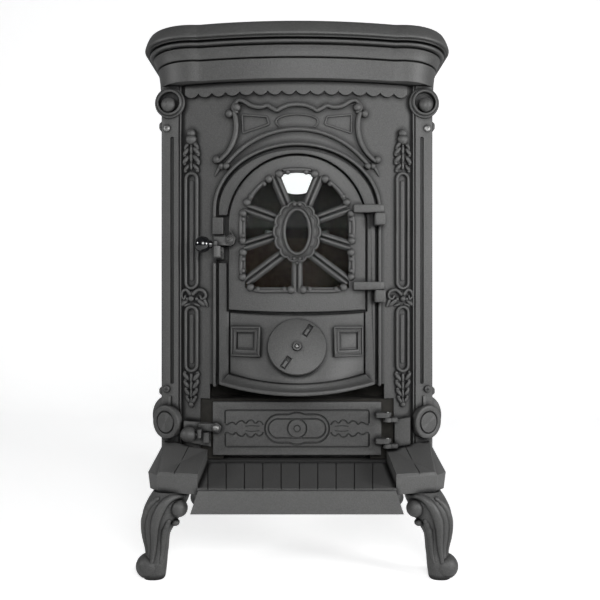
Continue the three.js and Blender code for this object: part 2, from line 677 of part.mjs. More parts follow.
// The right front leg about its own top centre; side and depth mirror it.
function leg({ x, y, side, depth }) {
  const levels = [ // height, outward, forward, half size
    [legHeight - gap, 0, 0, 31], [116, 5, 3, 29.5], [104, 10, 8, 29], [90, 16, 10, 28], [71, 20, 9, 20.7],
    [55, 22, 8, 17.4], [38, 21.5, 9, 16], [31, 24, 12, 19], [22, 28.5, 16, 22.8], [12, 29.5, 17.5, 22.5], [3, 30.5, 18, 18.5], [0, 30.5, 18, 15],
  ];
  const points = 12;
  const rings = levels.map(([z, outward, forward, size]) =>
    Array.from({ length: points }, (_, k) => {
      const angle = (k * 2 * Math.PI) / points;
      const ridge = 1 + 0.05 * Math.cos(4 * (angle - Math.PI / 4));
      return [x + side * (outward + size * ridge * Math.cos(angle)), y + depth * (forward + size * ridge * Math.sin(angle)), z];
    }),
  );
  const scroll = ball(x - side * 15, y + depth * 12, 105, 10.5, 10);
  const [bx, by] = [x - side * flangeBolt[0], y - depth * flangeBolt[1]];
  const flange = box(Math.min(bx - 13, x - 13), Math.max(bx + 13, x + 13), Math.min(by - 12, y), Math.max(by + 12, y), legHeight - 9, legHeight - gap);
  return join(loft(rings), scroll, flange).subtract(rodZ(bx, by, 4.3, legHeight - 20, legHeight + 1, 12));
}

function legBolt({ x, y, side, depth }) {
  const [bx, by] = [x - side * flangeBolt[0], y - depth * flangeBolt[1]];
  return join(rodZ(bx, by, 4, legHeight - 10, legHeight + 9, 12), rodZ(bx, by, 7, legHeight - 15, legHeight - 9 - gap, 6));
}

function hearthPlate() {
  const back = baseFrontY - gap - 0.5;
  const top = baseUnder;
  const front = hearthFrontY;
  const thickness = 7;
  const profile = [
    [back, top], [front + 4, top - hearthSlope], [front + 1, top - hearthSlope - 0.8], [front, top - hearthSlope - 3],
    [front, top - hearthSlope - hearthLip], [front + 6, top - hearthSlope - hearthLip], [front + 6, top - hearthSlope - thickness],
    [back, top - thickness], [back + 40, top - thickness], [back + 40, top - gap], [back, top - gap],
  ];
  const half = hearthHalfWidth;
  const sheet = bar(profile, -half - hearthFlare, half + hearthFlare);
  const low = top - hearthSlope - hearthLip;
  const cover = prism(outline([[-half - hearthFlare, low], [half + hearthFlare, low], [half, legHeight - 1], [half, top + 5], [-half, top + 5], [-half, legHeight - 1]]), front - 5, back + 50);
  const rise = Math.atan2(hearthSlope, back - front - 4);
  const ribs = Array.from({ length: hearthRibs }, (_, k) => {
    const x = (k - (hearthRibs - 1) / 2) * hearthRibStep;
    const rib = new THREE.BoxGeometry(2.2, hearthDepth - 12, 2.4).rotateX(rise);
    return solid(rib.translate(x, (back + front) / 2 + 1, top - hearthSlope / 2 + 0.1));
  });
  return join(sheet.intersect(cover), ...ribs);
}

// ---- Bulged air panel, spinner ----
const airRise = airTop - airFoot;
const airTilt = Math.atan2(airBulge, airRise);
const airCurve = (x) => 1 - (x / airHalfWidth) ** 2;
const airY = (x, z) => bowY(x, airLift) - (airBulge * airCurve(x) * (baseTop + airTop - z)) / airRise;
const discPlace = (() => {
  const z = baseTop + discHeight;
  return turn(0, airY(0, z), z);
})();

// Moves a piece made facing -Y at the origin on to the air panel's sloping middle.
const onAirPanel = (geometry) => geometry.rotateX(-airTilt).translate(discPlace.x, discPlace.y, discPlace.z);

function airPanel() {
  const columns = 12;
  const thick = 6;
  const rings = Array.from({ length: columns + 1 }, (_, k) => {
    const x = airHalfWidth * (-1 + (2 * k) / columns);
    const foot = baseTop + airFoot - airDrop * airCurve(x);
    const face = (z) => [x, airY(x, z), z];
    const top = baseTop + airTop - doorSag * airCurve(x);
    const rest = bowY(x, gap);
    const wide = (out, down, spread) => [x * (1 + (spread * mouldingSpread) / airHalfWidth), airY(x, foot) - out, foot - down];
    const inside = (z) => [x, Math.min(airY(x, z) + thick, rest), z];
    const low = foot - mouldingHeight;
    return [
      face(top), face(top - airRise * 0.35), face(top - airRise * 0.7), face(foot),
      wide(4, 0.5, 0.25), wide(5.5, 5, 0.45), wide(10, 9, 0.8), wide(14, 10.5, 1), wide(15, 13.5, 1), wide(13, mouldingHeight, 0.9),
      [x, rest, low], [x, rest, low + thick],
      inside(foot - 4), inside(top - airRise * 0.7), inside(top - thick), [x, rest, top - thick], [x, rest, top],
    ];
  });
  // The loft's cuts: holes round the stud that the spinner covers, and the stud's own hole.
  const seat = solid(onAirPanel(turned([[0, -7], [discRadius + 3, -7], [discRadius + 3, 1], [discRadius + 1.5, 1.8], [0, 1.8]], 28)));
  const vents = [0, 1, 2, 3].map((k) => {
    const angle = (k + 0.5) * (Math.PI / 2);
    const hole = new THREE.CylinderGeometry(11, 11, 60, 12).translate(25 * Math.cos(angle), 0, 25 * Math.sin(angle));
    return solid(onAirPanel(hole));
  });
  const studHole = solid(onAirPanel(new THREE.CylinderGeometry(studRadius + gap, studRadius + gap, 60, 12)));
  const frames = [-1, 1].map((side) => airFrame(side));
  return join(loft(rings), seat, ...frames).subtract(join(...vents, studHole));
}

// A square plate lying on the panel beside the spinner, from back to front out of its surface.
function airPlate(side, [x0, x1], [z0, z1], back, front, columns = 4) {
  const rings = Array.from({ length: columns + 1 }, (_, k) => {
    const x = side * (x0 + ((x1 - x0) * k) / columns);
    const point = (z, out) => [x, airY(x, z) - out, z];
    return [point(z0, front), point(z1, front), point(z1, back), point(z0, back)];
  });
  return loft(rings);
}

// A frame of that kind with a sunk middle.
function airFrame(side) {
  const [x, z] = [[discRadius + 12.5, airHalfWidth - 1], [baseTop + airFoot + 31, baseTop + airTop - 22]];
  const border = 9;
  const frame = airPlate(side, x, z, -2, 3.4);
  return frame.subtract(airPlate(side, [x[0] + border, x[1] - border], [z[0] + border, z[1] - border], 0.6, 8));
}

function airDisc() {
  const f = 1.8 + discGap;
  const body = turned([[hubRadius + gap, f], [discRadius - 1, f], [discRadius, f + 1], [discRadius, f + discThickness - 1.2], [discRadius - 1.2, f + discThickness], [hubRadius + gap, f + discThickness], [hubRadius + gap, f]], 36);
  const disc = solid(body);
  const pocket = (sign) => {
    const make = (w, h, y0, y1) => new THREE.BoxGeometry(w, y1 - y0, h).translate(0, (y0 + y1) / 2, sign * 30.5).rotateY(THREE.MathUtils.degToRad(33));
    const hollow = solid(make(9.5, 21, -f - discThickness - 1, -f - 2));
    const grip = solid(make(4, 15, -f - discThickness + 0.6, -f - 1.5));
    return [hollow, grip];
  };
  const [a, b] = [pocket(1), pocket(-1)];
  const made = join(disc.subtract(join(a[0], b[0])), a[1], b[1]);
  return solid(onAirPanel(geometryOf(made)));
}

function airHub() {
  const f = 1.8 + gap;
  const body = turned([[studRadius + gap, f], [hubRadius, f], [hubRadius, f + 8.5], [hubRadius - 1, f + 9.2], [studRadius + gap, f + 9.2], [studRadius + gap, f]], 16);
  return solid(onAirPanel(body));
}

function airSpindle() {
  const body = turned([[0, -13], [studRadius, -13], [studRadius, 11], [studRadius - 1, 12], [0, 12]], 12);
  const nut = turned([[studRadius - 0.5, -12], [6, -12], [6, -7 - gap], [studRadius - 0.5, -7 - gap], [studRadius - 0.5, -12]], 6);
  return solid(onAirPanel(geometryOf(join(solid(body), solid(nut)))));
}

// ---- Fire door ----
const hubZ = archZ - hubDrop;

// Where a spoke meets the window's rim, going out from the medallion's centre.
function rimPoint(degrees) {
  const angle = THREE.MathUtils.degToRad(degrees);
  const [sx, sz] = [Math.sin(angle), Math.cos(angle)];
  const radius = windowRadius + 3;
  const foot = baseTop + windowFoot - 3;
  // On the arch the distance solves |hub + t s - arch centre| = radius.
  const along = sz * hubDrop;
  const t = along + Math.sqrt(along ** 2 - hubDrop ** 2 + radius ** 2);
  if (hubZ + t * sz >= archZ) return [t * sx, hubZ + t * sz];
  const reach = Math.min(sx ? radius / Math.abs(sx) : Infinity, sz < 0 ? (foot - hubZ) / sz : Infinity);
  return [reach * sx, hubZ + reach * sz];
}

function spoke([x, z]) {
  const start = turn(x, bowY(x, doorSeat + doorThickness - 2), z);
  const end = turn(x * 0.2, bowY(0, doorSeat + doorThickness - 2), hubZ + (z - hubZ) * 0.4);
  const direction = end.clone().sub(start);
  const length = direction.length();
  direction.normalize();
  const w = spokeWidth / 2;
  const section = outline([[-w, -5], [w, -5], [w, 1], [w - 3, 3.8], [0, 0.6], [3 - w, 3.8], [-w, 1]]);
  const across = new THREE.Vector3().crossVectors(turn(0, -1, 0), direction).normalize();
  const outward = new THREE.Vector3().crossVectors(direction, across);
  const basis = new THREE.Matrix4().makeBasis(across, outward, direction);
  const geometry = new THREE.ExtrudeGeometry(section, { depth: length, bevelEnabled: false });
  return solid(geometry.applyMatrix4(basis).translate(start.x, start.y, start.z));
}

function medallion() {
  const back = doorSeat + 1;
  const body = oval(0, hubZ, hubHalfWidth, hubHalfHeight, 42, 0.045, 14);
  body.holes.push(oval(0, hubZ, eyeHalfWidth, eyeHalfHeight, 16));
  const inner = oval(0, hubZ, eyeHalfWidth + 7, eyeHalfHeight + 7, 16);
  inner.holes.push(oval(0, hubZ, eyeHalfWidth, eyeHalfHeight, 16));
  const front = doorSeat + doorThickness;
  return [prism(body, bowY(0, front + 3), bowY(0, back)), prism(inner, bowY(0, front + 6), bowY(0, front))];
}

function hingeArm(z) {
  const radius = 7;
  const top = z + armHeight;
  const reach = box(windowRadius + 10, hingeX, hingeY - 4.5, hingeY + 4.5, z, top);
  const root = box(windowRadius + 10, doorRadius - 3, hingeY - 4.5, bowY(doorRadius, doorSeat + 1), z, top);
  return [join(reach, root, rodZ(hingeX, hingeY, radius, z, top)), rodZ(hingeX, hingeY, pinRadius + pinClearance, z - 1, top + 1)];
}

const doorFront = doorSeat + doorThickness;
const armFeet = hingeFeet.map((z) => baseTop + z + knuckleHeight + gap);
const fireLatch = turn(-doorRadius + 3, bowY(doorRadius - 11, doorFront) - 1.4, baseTop + 348.7);

function fireDoor() {
  const plate = arch(doorRadius, archZ, baseTop + doorFoot, doorSag);
  plate.holes.push(arch(windowRadius, archZ, baseTop + windowFoot));
  const radius = windowRadius + 6;
  const foot = baseTop + windowFoot - 8;
  const side = [[-radius, archZ], [-radius, hubZ - 40], [-radius, foot + 14], [-radius + 4, foot + 4], [-radius + 14, foot]];
  const rimTop = Array.from({ length: 15 }, (_, k) => {
    const angle = Math.PI - (k * Math.PI) / 14;
    return [radius * Math.cos(angle), archZ + radius * Math.sin(angle)];
  });
  const lift = doorFront - 0.5;
  const rim = [
    bead(rimTop, rimRadius, lift, 16, 5),
    bead(side, rimRadius, lift, 6, 5),
    bead(side.map(([x, z]) => [-x, z]), rimRadius, lift, 6, 5),
    bead([[-radius + 14, foot], [radius - 14, foot]], rimRadius, lift, 4, 5),
  ];
  const ends = [...spokeAngles, ...spokeAngles.map((a) => -a), 180].map(rimPoint);
  const knobs = ends.flatMap(([x, z]) => {
    const length = Math.hypot(x, z - hubZ);
    const [ux, uz] = [x / length, (z - hubZ) / length];
    return [-1, 1].map((s) => stud(x + ux * 3 - s * uz * 8.5, z + uz * 3 + s * ux * 8.5, 5.6, lift, 5));
  });
  const arms = armFeet.map(hingeArm);
  const solids = [onBow(plate, doorSeat, doorFront, 16), ...rim, ...knobs, ...medallion(), ...ends.map(spoke), ...arms.map(([arm]) => arm)];
  const behind = slab(-30, doorSeat);
  const pivot = rodY(fireLatch.x, fireLatch.z, studRadius + gap, frontY - 40, frontY + 20, 12);
  return join(...solids).subtract(join(...arms.map(([, hole]) => hole), pivot, behind));
}

function doorSeal() {
  const ring = arch(doorRadius - 1.5, archZ, baseTop + doorFoot + 1.5);
  ring.holes.push(arch(fireOpening + 0.5, archZ, baseTop + doorFoot + 7.5));
  return onBow(ring, gap, doorSeat - gap);
}

const glassHalf = windowRadius + 13;
const glassSet = 4.550305; // its back, behind the back of the door at its side edges
const glassBackY = bowY(glassHalf, doorSeat) + glassSet;
const glassFoot = baseTop + windowFoot - 17;

function doorGlass() {
  return prism(arch(glassHalf, archZ, glassFoot), glassBackY - 4, glassBackY, 16);
}

// A clip behind the edge of the glass, with its foot on the back of the door.
function glassClip(side) {
  const [z0, z1] = [archZ - 75, archZ - 35];
  const foot = box(glassHalf + gap, fireOpening - 2, bowY(glassHalf + 2, doorSeat) + gap, glassBackY + 2.3, z0, z1);
  const pad = box(glassHalf - 9, fireOpening - 2, glassBackY + gap, glassBackY + 2.3, z0, z1);
  const made = join(foot, pad).subtract(slab(doorSeat - gap, 40));
  return side > 0 ? made : solid(flipX(geometryOf(made)));
}

function hingePin(x, y, z0, z1) {
  return solid(new THREE.CapsuleGeometry(pinRadius, z1 - z0 - pinRadius, 2, 12).rotateX(Math.PI / 2).translate(x, y, (z0 + z1) / 2))
    .intersect(box(x - 9, x + 9, y - 9, y + 9, z0, z1 + 9));
}

// ---- Latches ----
// A flat lever facing -Y with a boss at the pivot, an arm to the left and a neck for its knob.
function lever({ pivot, reach, tail, y0, y1, low, high, neck }) {
  const boss = outline(Array.from({ length: 5 }, (_, k) => {
    const angle = Math.PI / 2 + (k * 2 * Math.PI) / 5;
    return [pivot.x + 9 * Math.cos(angle), pivot.z + 9 * Math.sin(angle)];
  }));
  const arm = outline([[pivot.x - reach, low + 2], [pivot.x - reach + 2, low], [pivot.x + 2, low], [pivot.x + 4, pivot.z], [pivot.x, high], [pivot.x - reach, high]]);
  const fin = outline([[pivot.x - 1, pivot.z + 17], [pivot.x + 3, pivot.z + 2], [pivot.x + tail, pivot.z + 4]]);
  const end = pivot.x - reach;
  const crank = box(end, end + 6, neck.y < y0 ? neck.y - 5 : y0, y1, neck.z - 5, Math.max(neck.z + 5, low + 5));
  const shank = new THREE.CylinderGeometry(4, 4, neck.length, 12).rotateZ(Math.PI / 2).translate(end + 1 - neck.length / 2, neck.y, neck.z);
  const parts = [prism(boss, y0, y1), prism(arm, y0, y1), crank, solid(shank)];
  if (tail) parts.push(prism(fin, y0, y1));
  return join(...parts).subtract(rodY(pivot.x, pivot.z, studRadius + gap, y0 - 1, y1 + 1, 12));
}

function latchPivot(pivot, y0, y1, depth) {
  const shank = rodY(pivot.x, pivot.z, studRadius, y0 - 1, y1 + depth, 12);
  const head = solid(turned([[0, -1], [5.2, -1], [5.2, 0.8], [3.6, 2.4], [0, 3]], 12).translate(pivot.x, y0 - gap - 1, pivot.z));
  return join(shank, head);
}

const fireLever = {
  pivot: fireLatch, reach: 26, tail: 8, y0: fireLatch.y - 6, y1: fireLatch.y,
  low: fireLatch.z - 8.9, high: fireLatch.z + 5, neck: { length: 13, y: fireLatch.y - 3, z: fireLatch.z - 7 },
};
const fireKnobX = fireLatch.x - 41;

// A round or egg-shaped knob, bored from the right for its shank's end.
function knob(x, y, z, radius, stretch, shankEnd) {
  const body = new THREE.SphereGeometry(radius, 16, 10).rotateZ(Math.PI / 2).scale(stretch, 1, 1).translate(x, y, z);
  const bore = new THREE.CylinderGeometry(4 + gap, 4 + gap, 24, 12).rotateZ(Math.PI / 2).translate(shankEnd - gap + 12, y, z);
  return solid(body).subtract(solid(bore));
}

const shankEnd = ({ pivot, reach, neck }) => pivot.x - reach + 1 - neck.length;
const fireKnob = () => knob(fireKnobX, fireLever.neck.y, fireLever.neck.z, 13, 1, shankEnd(fireLever));

function fireCatch() {
  const [x0, x1] = [-doorRadius - 22, -doorRadius - 12];
  const top = fireLever.low - 0.8;
  const surface = pocketY - gap;
  const lipY = fireLever.y0 - 1.5;
  return join(
    box(x0 - 2, x1 + 3, surface - 4, surface, top - 20, top),
    box(x0, x1, lipY - 4, surface - 1, top - 18, top - 10),
    box(x0, x1, lipY - 4, lipY, top - 18, top),
  );
}

// The wall beside the ash door's recess, with the room that a casting on it keeps.
const besideRecess = (side) => slab(-40, gap).intersect(
  box(Math.min(side * (ashRecess - gap), side * halfBody), Math.max(side * (ashRecess - gap), side * halfBody), frontY - 60, rearY, baseTop, bodyTop),
);

const ashLatch = turn(-ashDoorWidth / 2 + 6, ashDoorY - 0.4, baseTop + 52);
const ashLever = {
  pivot: ashLatch, reach: 28, tail: 0, y0: ashLatch.y - 6, y1: ashLatch.y,
  low: ashLatch.z - 5.5, high: ashLatch.z + 7, neck: { length: 12, y: ashLatch.y - 12.6, z: ashLatch.z - 8.5 },
};
const ashKnob = () => knob(ashLatch.x - 42.5, ashLever.neck.y, ashLever.neck.z, 11.8, 1.08, shankEnd(ashLever));

// The plate left of the ash door, with the hook that its lever drops behind.
function ashKeeper() {
  const [x0, x1] = [-ashRecess - 25.5, -ashRecess + 17.5];
  const [z0, z1] = [baseTop + 22, baseTop + 62];
  const faceY = ashDoorY + 0.2;
  const plate = prism(outline([[x0, z0 + 8], [x1, z0], [x1, z1 - 3], [x0, z1]]), faceY, faceY + 6);
  const boss = box(x0, -ashRecess - 3, faceY + 5, bowY(x0, 0) - 0.2, z0 + 10, z1 - 2);
  const top = ashLever.low - 0.6;
  const lipY = ashLever.y0 - 1.5;
  const [c0, c1] = [ashLatch.x - 19, ashLatch.x - 11];
  return join(
    join(plate, boss).subtract(besideRecess(-1)),
    box(c0, c1, lipY - 4, faceY + 1, top - 15.5, top - 8), box(c0, c1, lipY - 4, lipY, top - 15.5, top),
  );
}

// ---- Ash door, its hinge and what is behind it ----
function ashDoor() {
  const half = ashDoorWidth / 2;
  const [z0, z1] = [baseTop + ashDoorFoot, baseTop + ashDoorFoot + ashDoorHeight];
  const mid = (z0 + z1) / 2;
  const front = ashDoorY;
  const field = half - 19; // half width of the ornament's field
  const plate = box(-half, half, front, front + wall, z0, z1);
  const frame = (x, low, high, width) => {
    const shape = outline([[-x, low], [x, low], [x, high], [-x, high]]);
    shape.holes.push(outline([[-x + width, low + width], [x - width, low + width], [x - width, high - width], [-x + width, high - width]]));
    return prism(shape, front - 1.4, front + 1);
  };
  const stadium = (halfWidth, halfHeight) => {
    const shape = new THREE.Shape();
    shape.absarc(halfWidth - halfHeight, mid, halfHeight, -Math.PI / 2, Math.PI / 2, false);
    shape.absarc(halfHeight - halfWidth, mid, halfHeight, Math.PI / 2, (3 * Math.PI) / 2, false);
    return shape;
  };
  const ring = stadium(field - 64, 19);
  ring.holes.push(stadium(field - 69, 14));
  const eye = oval(0, mid, 24, 24, 24);
  const eyeHole = oval(0, mid, 19, 19, 24);
  const cartouche = join(prism(ring, front - 2.2, front + 1, 6), prism(eye, front - 2.2, front + 1)).subtract(prism(eyeHole, front - 6, front));
  const button = join(prism(oval(0, mid, 14.8, 14.8, 20), front - 2, front + 1), prism(oval(0, mid, 5, 5, 10), front - 3.4, front + 1));
  const leaves = [-1, 1].flatMap((side) =>
    [[53, 0, 4], [44, 6, 5], [44, -6, 5], [33, 7, 6], [33, -7, 6], [22, 5, 5], [22, -5, 5], [12, 0, 4.5]].map(([inset, z, r]) => {
      const leaf = new THREE.SphereGeometry(r, 6, 4).scale(1, 0.45, 1).translate(side * (field - inset), front, mid + z);
      return solid(leaf);
    }),
  );
  const lugs = ashLugFeet.map((foot) => {
    const z = baseTop + foot;
    const lug = join(
      box(half - 10, ashHingeX, ashHingeY - 5, ashHingeY + 5.5, z, z + ashLugHeight),
      box(half - 10, half - 1, ashHingeY, front + 2, z, z + ashLugHeight), rodZ(ashHingeX, ashHingeY, 7, z, z + ashLugHeight),
    );
    return [lug, rodZ(ashHingeX, ashHingeY, pinRadius + pinClearance, z - 1, z + ashLugHeight + 1)];
  });
  const pivot = rodY(ashLatch.x, ashLatch.z, studRadius + gap, front - 5, front + wall + 3, 12);
  const made = join(plate, frame(field, mid - 29, mid + 29, 3), cartouche, button, ...leaves, ...lugs.map(([lug]) => lug));
  return made.subtract(join(...lugs.map(([, hole]) => hole), pivot));
}

// The plate right of the ash door, whose two lugs hold the hinge pins.
function ashBracket() {
  const [x0, x1] = [ashRecess + 1, ashRecess + 25.5];
  const [z0, z1] = [baseTop + 21.5, baseTop + 68];
  const faceY = ashDoorY + 0.2;
  const plate = prism(outline([[x0, z0], [x1, z0 + 4], [x1, z1], [x0, z1 - 4]]), faceY, faceY + 6);
  const boss = box(ashRecess + 3, x1 - 6, faceY + 5, bowY(x1) - 0.2, z0 + 6, z1 - 6);
  const lugs = ashLugFeet.map((lugFoot) => {
    const top = baseTop + lugFoot - gap;
    const foot = top - ashSocketDepth - ashSocketFloor;
    const reach = box(ashHingeX, x0 + 3, ashHingeY - 4, faceY + 2, foot, top);
    return [join(reach, rodZ(ashHingeX, ashHingeY, 7, foot, top)), rodZ(ashHingeX, ashHingeY, pinRadius + gap, top - ashSocketDepth, top + 1)];
  });
  const seat = join(plate, boss).subtract(besideRecess(1));
  return join(seat, ...lugs.map(([lug]) => lug)).subtract(join(...lugs.map(([, hole]) => hole)));
}

const ashFrontY = ashDoorY + wall + 4;

function ashFront() {
  const half = ashRecess - 0.5;
  const [low, top] = [baseTop + gap, baseTop + frameFoot - 0.5];
  const shelf = low + 96;
  const profile = [
    [ashFrontY, low], [ashFrontY, shelf], [ashFrontY + 34, shelf], [ashFrontY + 34, top],
    [ashFrontY + 41, top], [ashFrontY + 41, shelf - wall], [ashFrontY + wall, shelf - wall], [ashFrontY + wall, low],
  ];
  const mouth = box(-panHalfWidth - 6, panHalfWidth + 6, ashFrontY - 1, ashFrontY + wall + 1, low - 1, baseTop + panHeight + 6);
  return bar(profile, -half, half).subtract(mouth);
}

function ashSeal() {
  const half = panHalfWidth + 14;
  const [z0, z1] = [baseTop + ashDoorFoot + 2, baseTop + panHeight + 12];
  const ring = outline([[-half, z0], [half, z0], [half, z1], [half - 6, z1], [half - 6, z0 + 0.01], [6 - half, z0 + 0.01], [6 - half, z1], [-half, z1]]);
  const top = box(-half, half, ashDoorY + wall + gap, ashFrontY - gap, z1 - 6, z1);
  const sides = [-1, 1].map((side) => {
    const edges = [side * half, side * (half - 6)].sort((a, b) => a - b);
    return box(edges[0], edges[1], ashDoorY + wall + gap, ashFrontY - gap, z0, z1 - 3);
  });
  return join(top, ...sides);
}

function ashPan() {
  const front = ashFrontY + wall + 5;
  const outer = box(-panHalfWidth, panHalfWidth, front, front + panDepth, baseTop + gap, baseTop + panHeight);
  const inner = box(-panHalfWidth + panWall, panHalfWidth - panWall, front + panWall, front + panDepth - panWall, baseTop + gap + panWall, baseTop + panHeight + 1);
  const slot = box(-24, 24, front - 1, front + panWall + 1, baseTop + 56, baseTop + 68);
  return outer.subtract(join(inner, slot));
}

function grateFrame() {
  const z = baseTop + grateHeight;
  const half = halfBody - wall - 1.5;
  const back = rearY - wall - 1.5;
  const front = ashFrontY + 34;
  const plate = box(-half, half, wallFrontY + 1, back, z, z + grateThickness);
  const nose = box(-ashRecess + 2, ashRecess - 2, front, wallFrontY + 2, z, z + grateThickness);
  const middle = (wallFrontY + back) / 2;
  const opening = box(-grateWidth / 2 + 10, grateWidth / 2 - 10, middle - grateDepth / 2 + 10, middle + grateDepth / 2 - 10, z - 1, z + grateThickness + 1);
  return join(plate, nose).subtract(opening);
}

function grate() {
  const z = baseTop + grateHeight + grateThickness + gap;
  const middle = (wallFrontY + rearY - wall - 1.5) / 2;
  const plate = box(-grateWidth / 2, grateWidth / 2, middle - grateDepth / 2, middle + grateDepth / 2, z, z + 9);
  const slots = 8;
  const step = (grateWidth - 24) / slots;
  const cuts = Array.from({ length: slots }, (_, k) => {
    const x = (k - (slots - 1) / 2) * step;
    return box(x - 6.5, x + 6.5, middle - grateDepth / 2 + 14, middle + grateDepth / 2 - 14, z - 1, z + 10);
  });
  return plate.subtract(join(...cuts));
}

const brickFoot = baseTop + grateHeight + grateThickness + gap;

function sideBrick(side) {
  const outer = halfBody - wall - gap;
  const x = [side * outer, side * (outer - brickThickness)].sort((a, b) => a - b);
  return box(x[0], x[1], wallFrontY + 6, rearY - wall - brickThickness - 2 * gap, brickFoot, brickFoot + brickHeight);
}

function rearBrick() {
  const half = halfBody - wall - gap;
  const back = rearY - wall - gap;
  return box(-half, half, back - brickThickness, back, brickFoot, brickFoot + brickHeight);
}

function brickRetainer() {
  const z = brickFoot + brickHeight + gap;
  const back = rearY - wall - gap;
  const half = halfBody - wall - 4;
  const angle = bar([[back, z], [back, z + 20], [back - 4, z + 20], [back - 4, z + 4], [back - brickThickness - 2, z + 4], [back - brickThickness - 2, z]], -half, half);
  const holes = [-1, 1].map((side) => rodY(side * 57, z + 12, 3.3, back - 5, back + 1, 12));
  return angle.subtract(join(...holes));
}

function retainerBolt(side) {
  const back = rearY - wall - gap;
  const z = brickFoot + brickHeight + gap + 12;
  const head = solid(turned([[0, 0], [7, 0], [7, 1.5], [5, 4], [0, 5]], 12).translate(side * 57, back - 4 - gap, z));
  return join(head, rodY(side * 57, z, 3, back - 5, back, 12));
}

// ---- Materials ----
const castIron = () => new THREE.MeshStandardMaterial({ color: 0x4b4b49, roughness: 0.62, metalness: 0.35 });
const blackIron = () => new THREE.MeshStandardMaterial({ color: 0x2b2b2a, roughness: 0.8, metalness: 0.2 });
const glossBlack = () => new THREE.MeshStandardMaterial({ color: 0x0b0b0c, roughness: 0.12, metalness: 0 });
const zinc = () => new THREE.MeshStandardMaterial({ color: 0x9a9a98, roughness: 0.35, metalness: 1 });
const rope = () => new THREE.MeshStandardMaterial({ color: 0x1d1c1b, roughness: 1, metalness: 0 });
const firebrick = () => new THREE.MeshStandardMaterial({ color: 0x8a7059, roughness: 0.95, metalness: 0 });
const glass = () => new THREE.MeshStandardMaterial({ color: 0xdfe6e2, roughness: 0.05, metalness: 0, transparent: true, opacity: 0.35 });
const steel = () => new THREE.MeshStandardMaterial({ color: 0x6a6b6b, roughness: 0.45, metalness: 0.9 });

// ---- The stove ----
const stove = new THREE.Group();
stove.position.y = -middleY;

function add(name, manifold, material, mirror = false) {
  const mesh = new THREE.Mesh(geometryOf(manifold.simplify(detail)), material);
  mesh.name = name;
  if (mirror) mesh.scale.x = -1;
  stove.add(mesh);
}

add('top_plate', topPlate(), castIron());
add('cornice', cornice(), castIron());
add('front_panel', frontPanel(), castIron());
add('pilaster_right', pilaster(), castIron());
add('pilaster_left', pilaster(), castIron(), true);
pilasterScrewZ.forEach((z, k) => {
  const level = ['lower', 'upper'][k];
  add(`pilaster_screw_right_${level}`, pilasterScrew(z), zinc());
  add(`pilaster_screw_left_${level}`, pilasterScrew(z), zinc(), true);
});
add('side_panel_right', sidePanel(), castIron());
add('side_panel_left', sidePanel(), castIron(), true);
add('rear_panel', rearPanel(), castIron());
add('flue_collar', flueCollar(), castIron());
add('base_plate', basePlate(), castIron());
add('hearth_plate', hearthPlate(), castIron());
for (const place of legPlaces) {
  add(`leg_${place.name}`, leg(place), castIron());
  add(`leg_bolt_${place.name}`, legBolt(place), zinc());
}
add('air_panel', airPanel(), castIron());
add('air_spindle', airSpindle(), zinc());
add('air_hub', airHub(), castIron());
add('air_disc', airDisc(), castIron());

add('fire_door', fireDoor(), castIron());
add('door_seal', doorSeal(), rope());
add('door_glass', doorGlass(), glass());
add('fire_latch_pivot', latchPivot(fireLatch, fireLever.y0, fireLever.y1, 6), zinc());
add('fire_latch_lever', lever(fireLever), castIron());
add('fire_latch_knob', fireKnob(), glossBlack());
add('fire_catch', fireCatch(), castIron());

add('ash_front', ashFront(), blackIron());
add('ash_door', ashDoor(), castIron());
add('ash_seal', ashSeal(), rope());
add('ash_hinge_bracket', ashBracket(), castIron());
add('ash_latch_pivot', latchPivot(ashLatch, ashLever.y0, ashLever.y1, 6), zinc());
add('ash_latch_lever', lever(ashLever), castIron());
add('ash_latch_knob', ashKnob(), castIron());
add('ash_keeper', ashKeeper(), castIron());
add('ash_pan', ashPan(), steel());
add('grate_frame', grateFrame(), blackIron());
add('grate', grate(), blackIron());
add('brick_rear', rearBrick(), firebrick());
add('brick_retainer', brickRetainer(), blackIron());

for (const [word, side] of [['left', -1], ['right', 1]]) {
  add(`flue_bolt_${word}`, flueBolt(side), zinc());
  add(`glass_clip_${word}`, glassClip(side), steel());
  add(`brick_${word}`, sideBrick(side), firebrick());
  add(`retainer_bolt_${word}`, retainerBolt(side), zinc());
}
['lower', 'upper'].forEach((level, k) => {
  const foot = baseTop + hingeFeet[k];
  add(`door_hinge_pin_${level}`, hingePin(hingeX, hingeY, foot + 4 + gap, foot + knuckleHeight + armHeight), zinc());
  const lug = baseTop + ashLugFeet[k];
  add(`ash_hinge_pin_${level}`, hingePin(ashHingeX, ashHingeY, lug - ashSocketDepth, lug + ashLugHeight), zinc());
});

export default stove;
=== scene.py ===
# The studio: a pale floor that runs up into a pale wall, three soft lamps and the camera,
# which stands 1.17 m in front of the stove at the height of its air panel.
import math

import bmesh
import bpy
from mathutils import Matrix, Vector


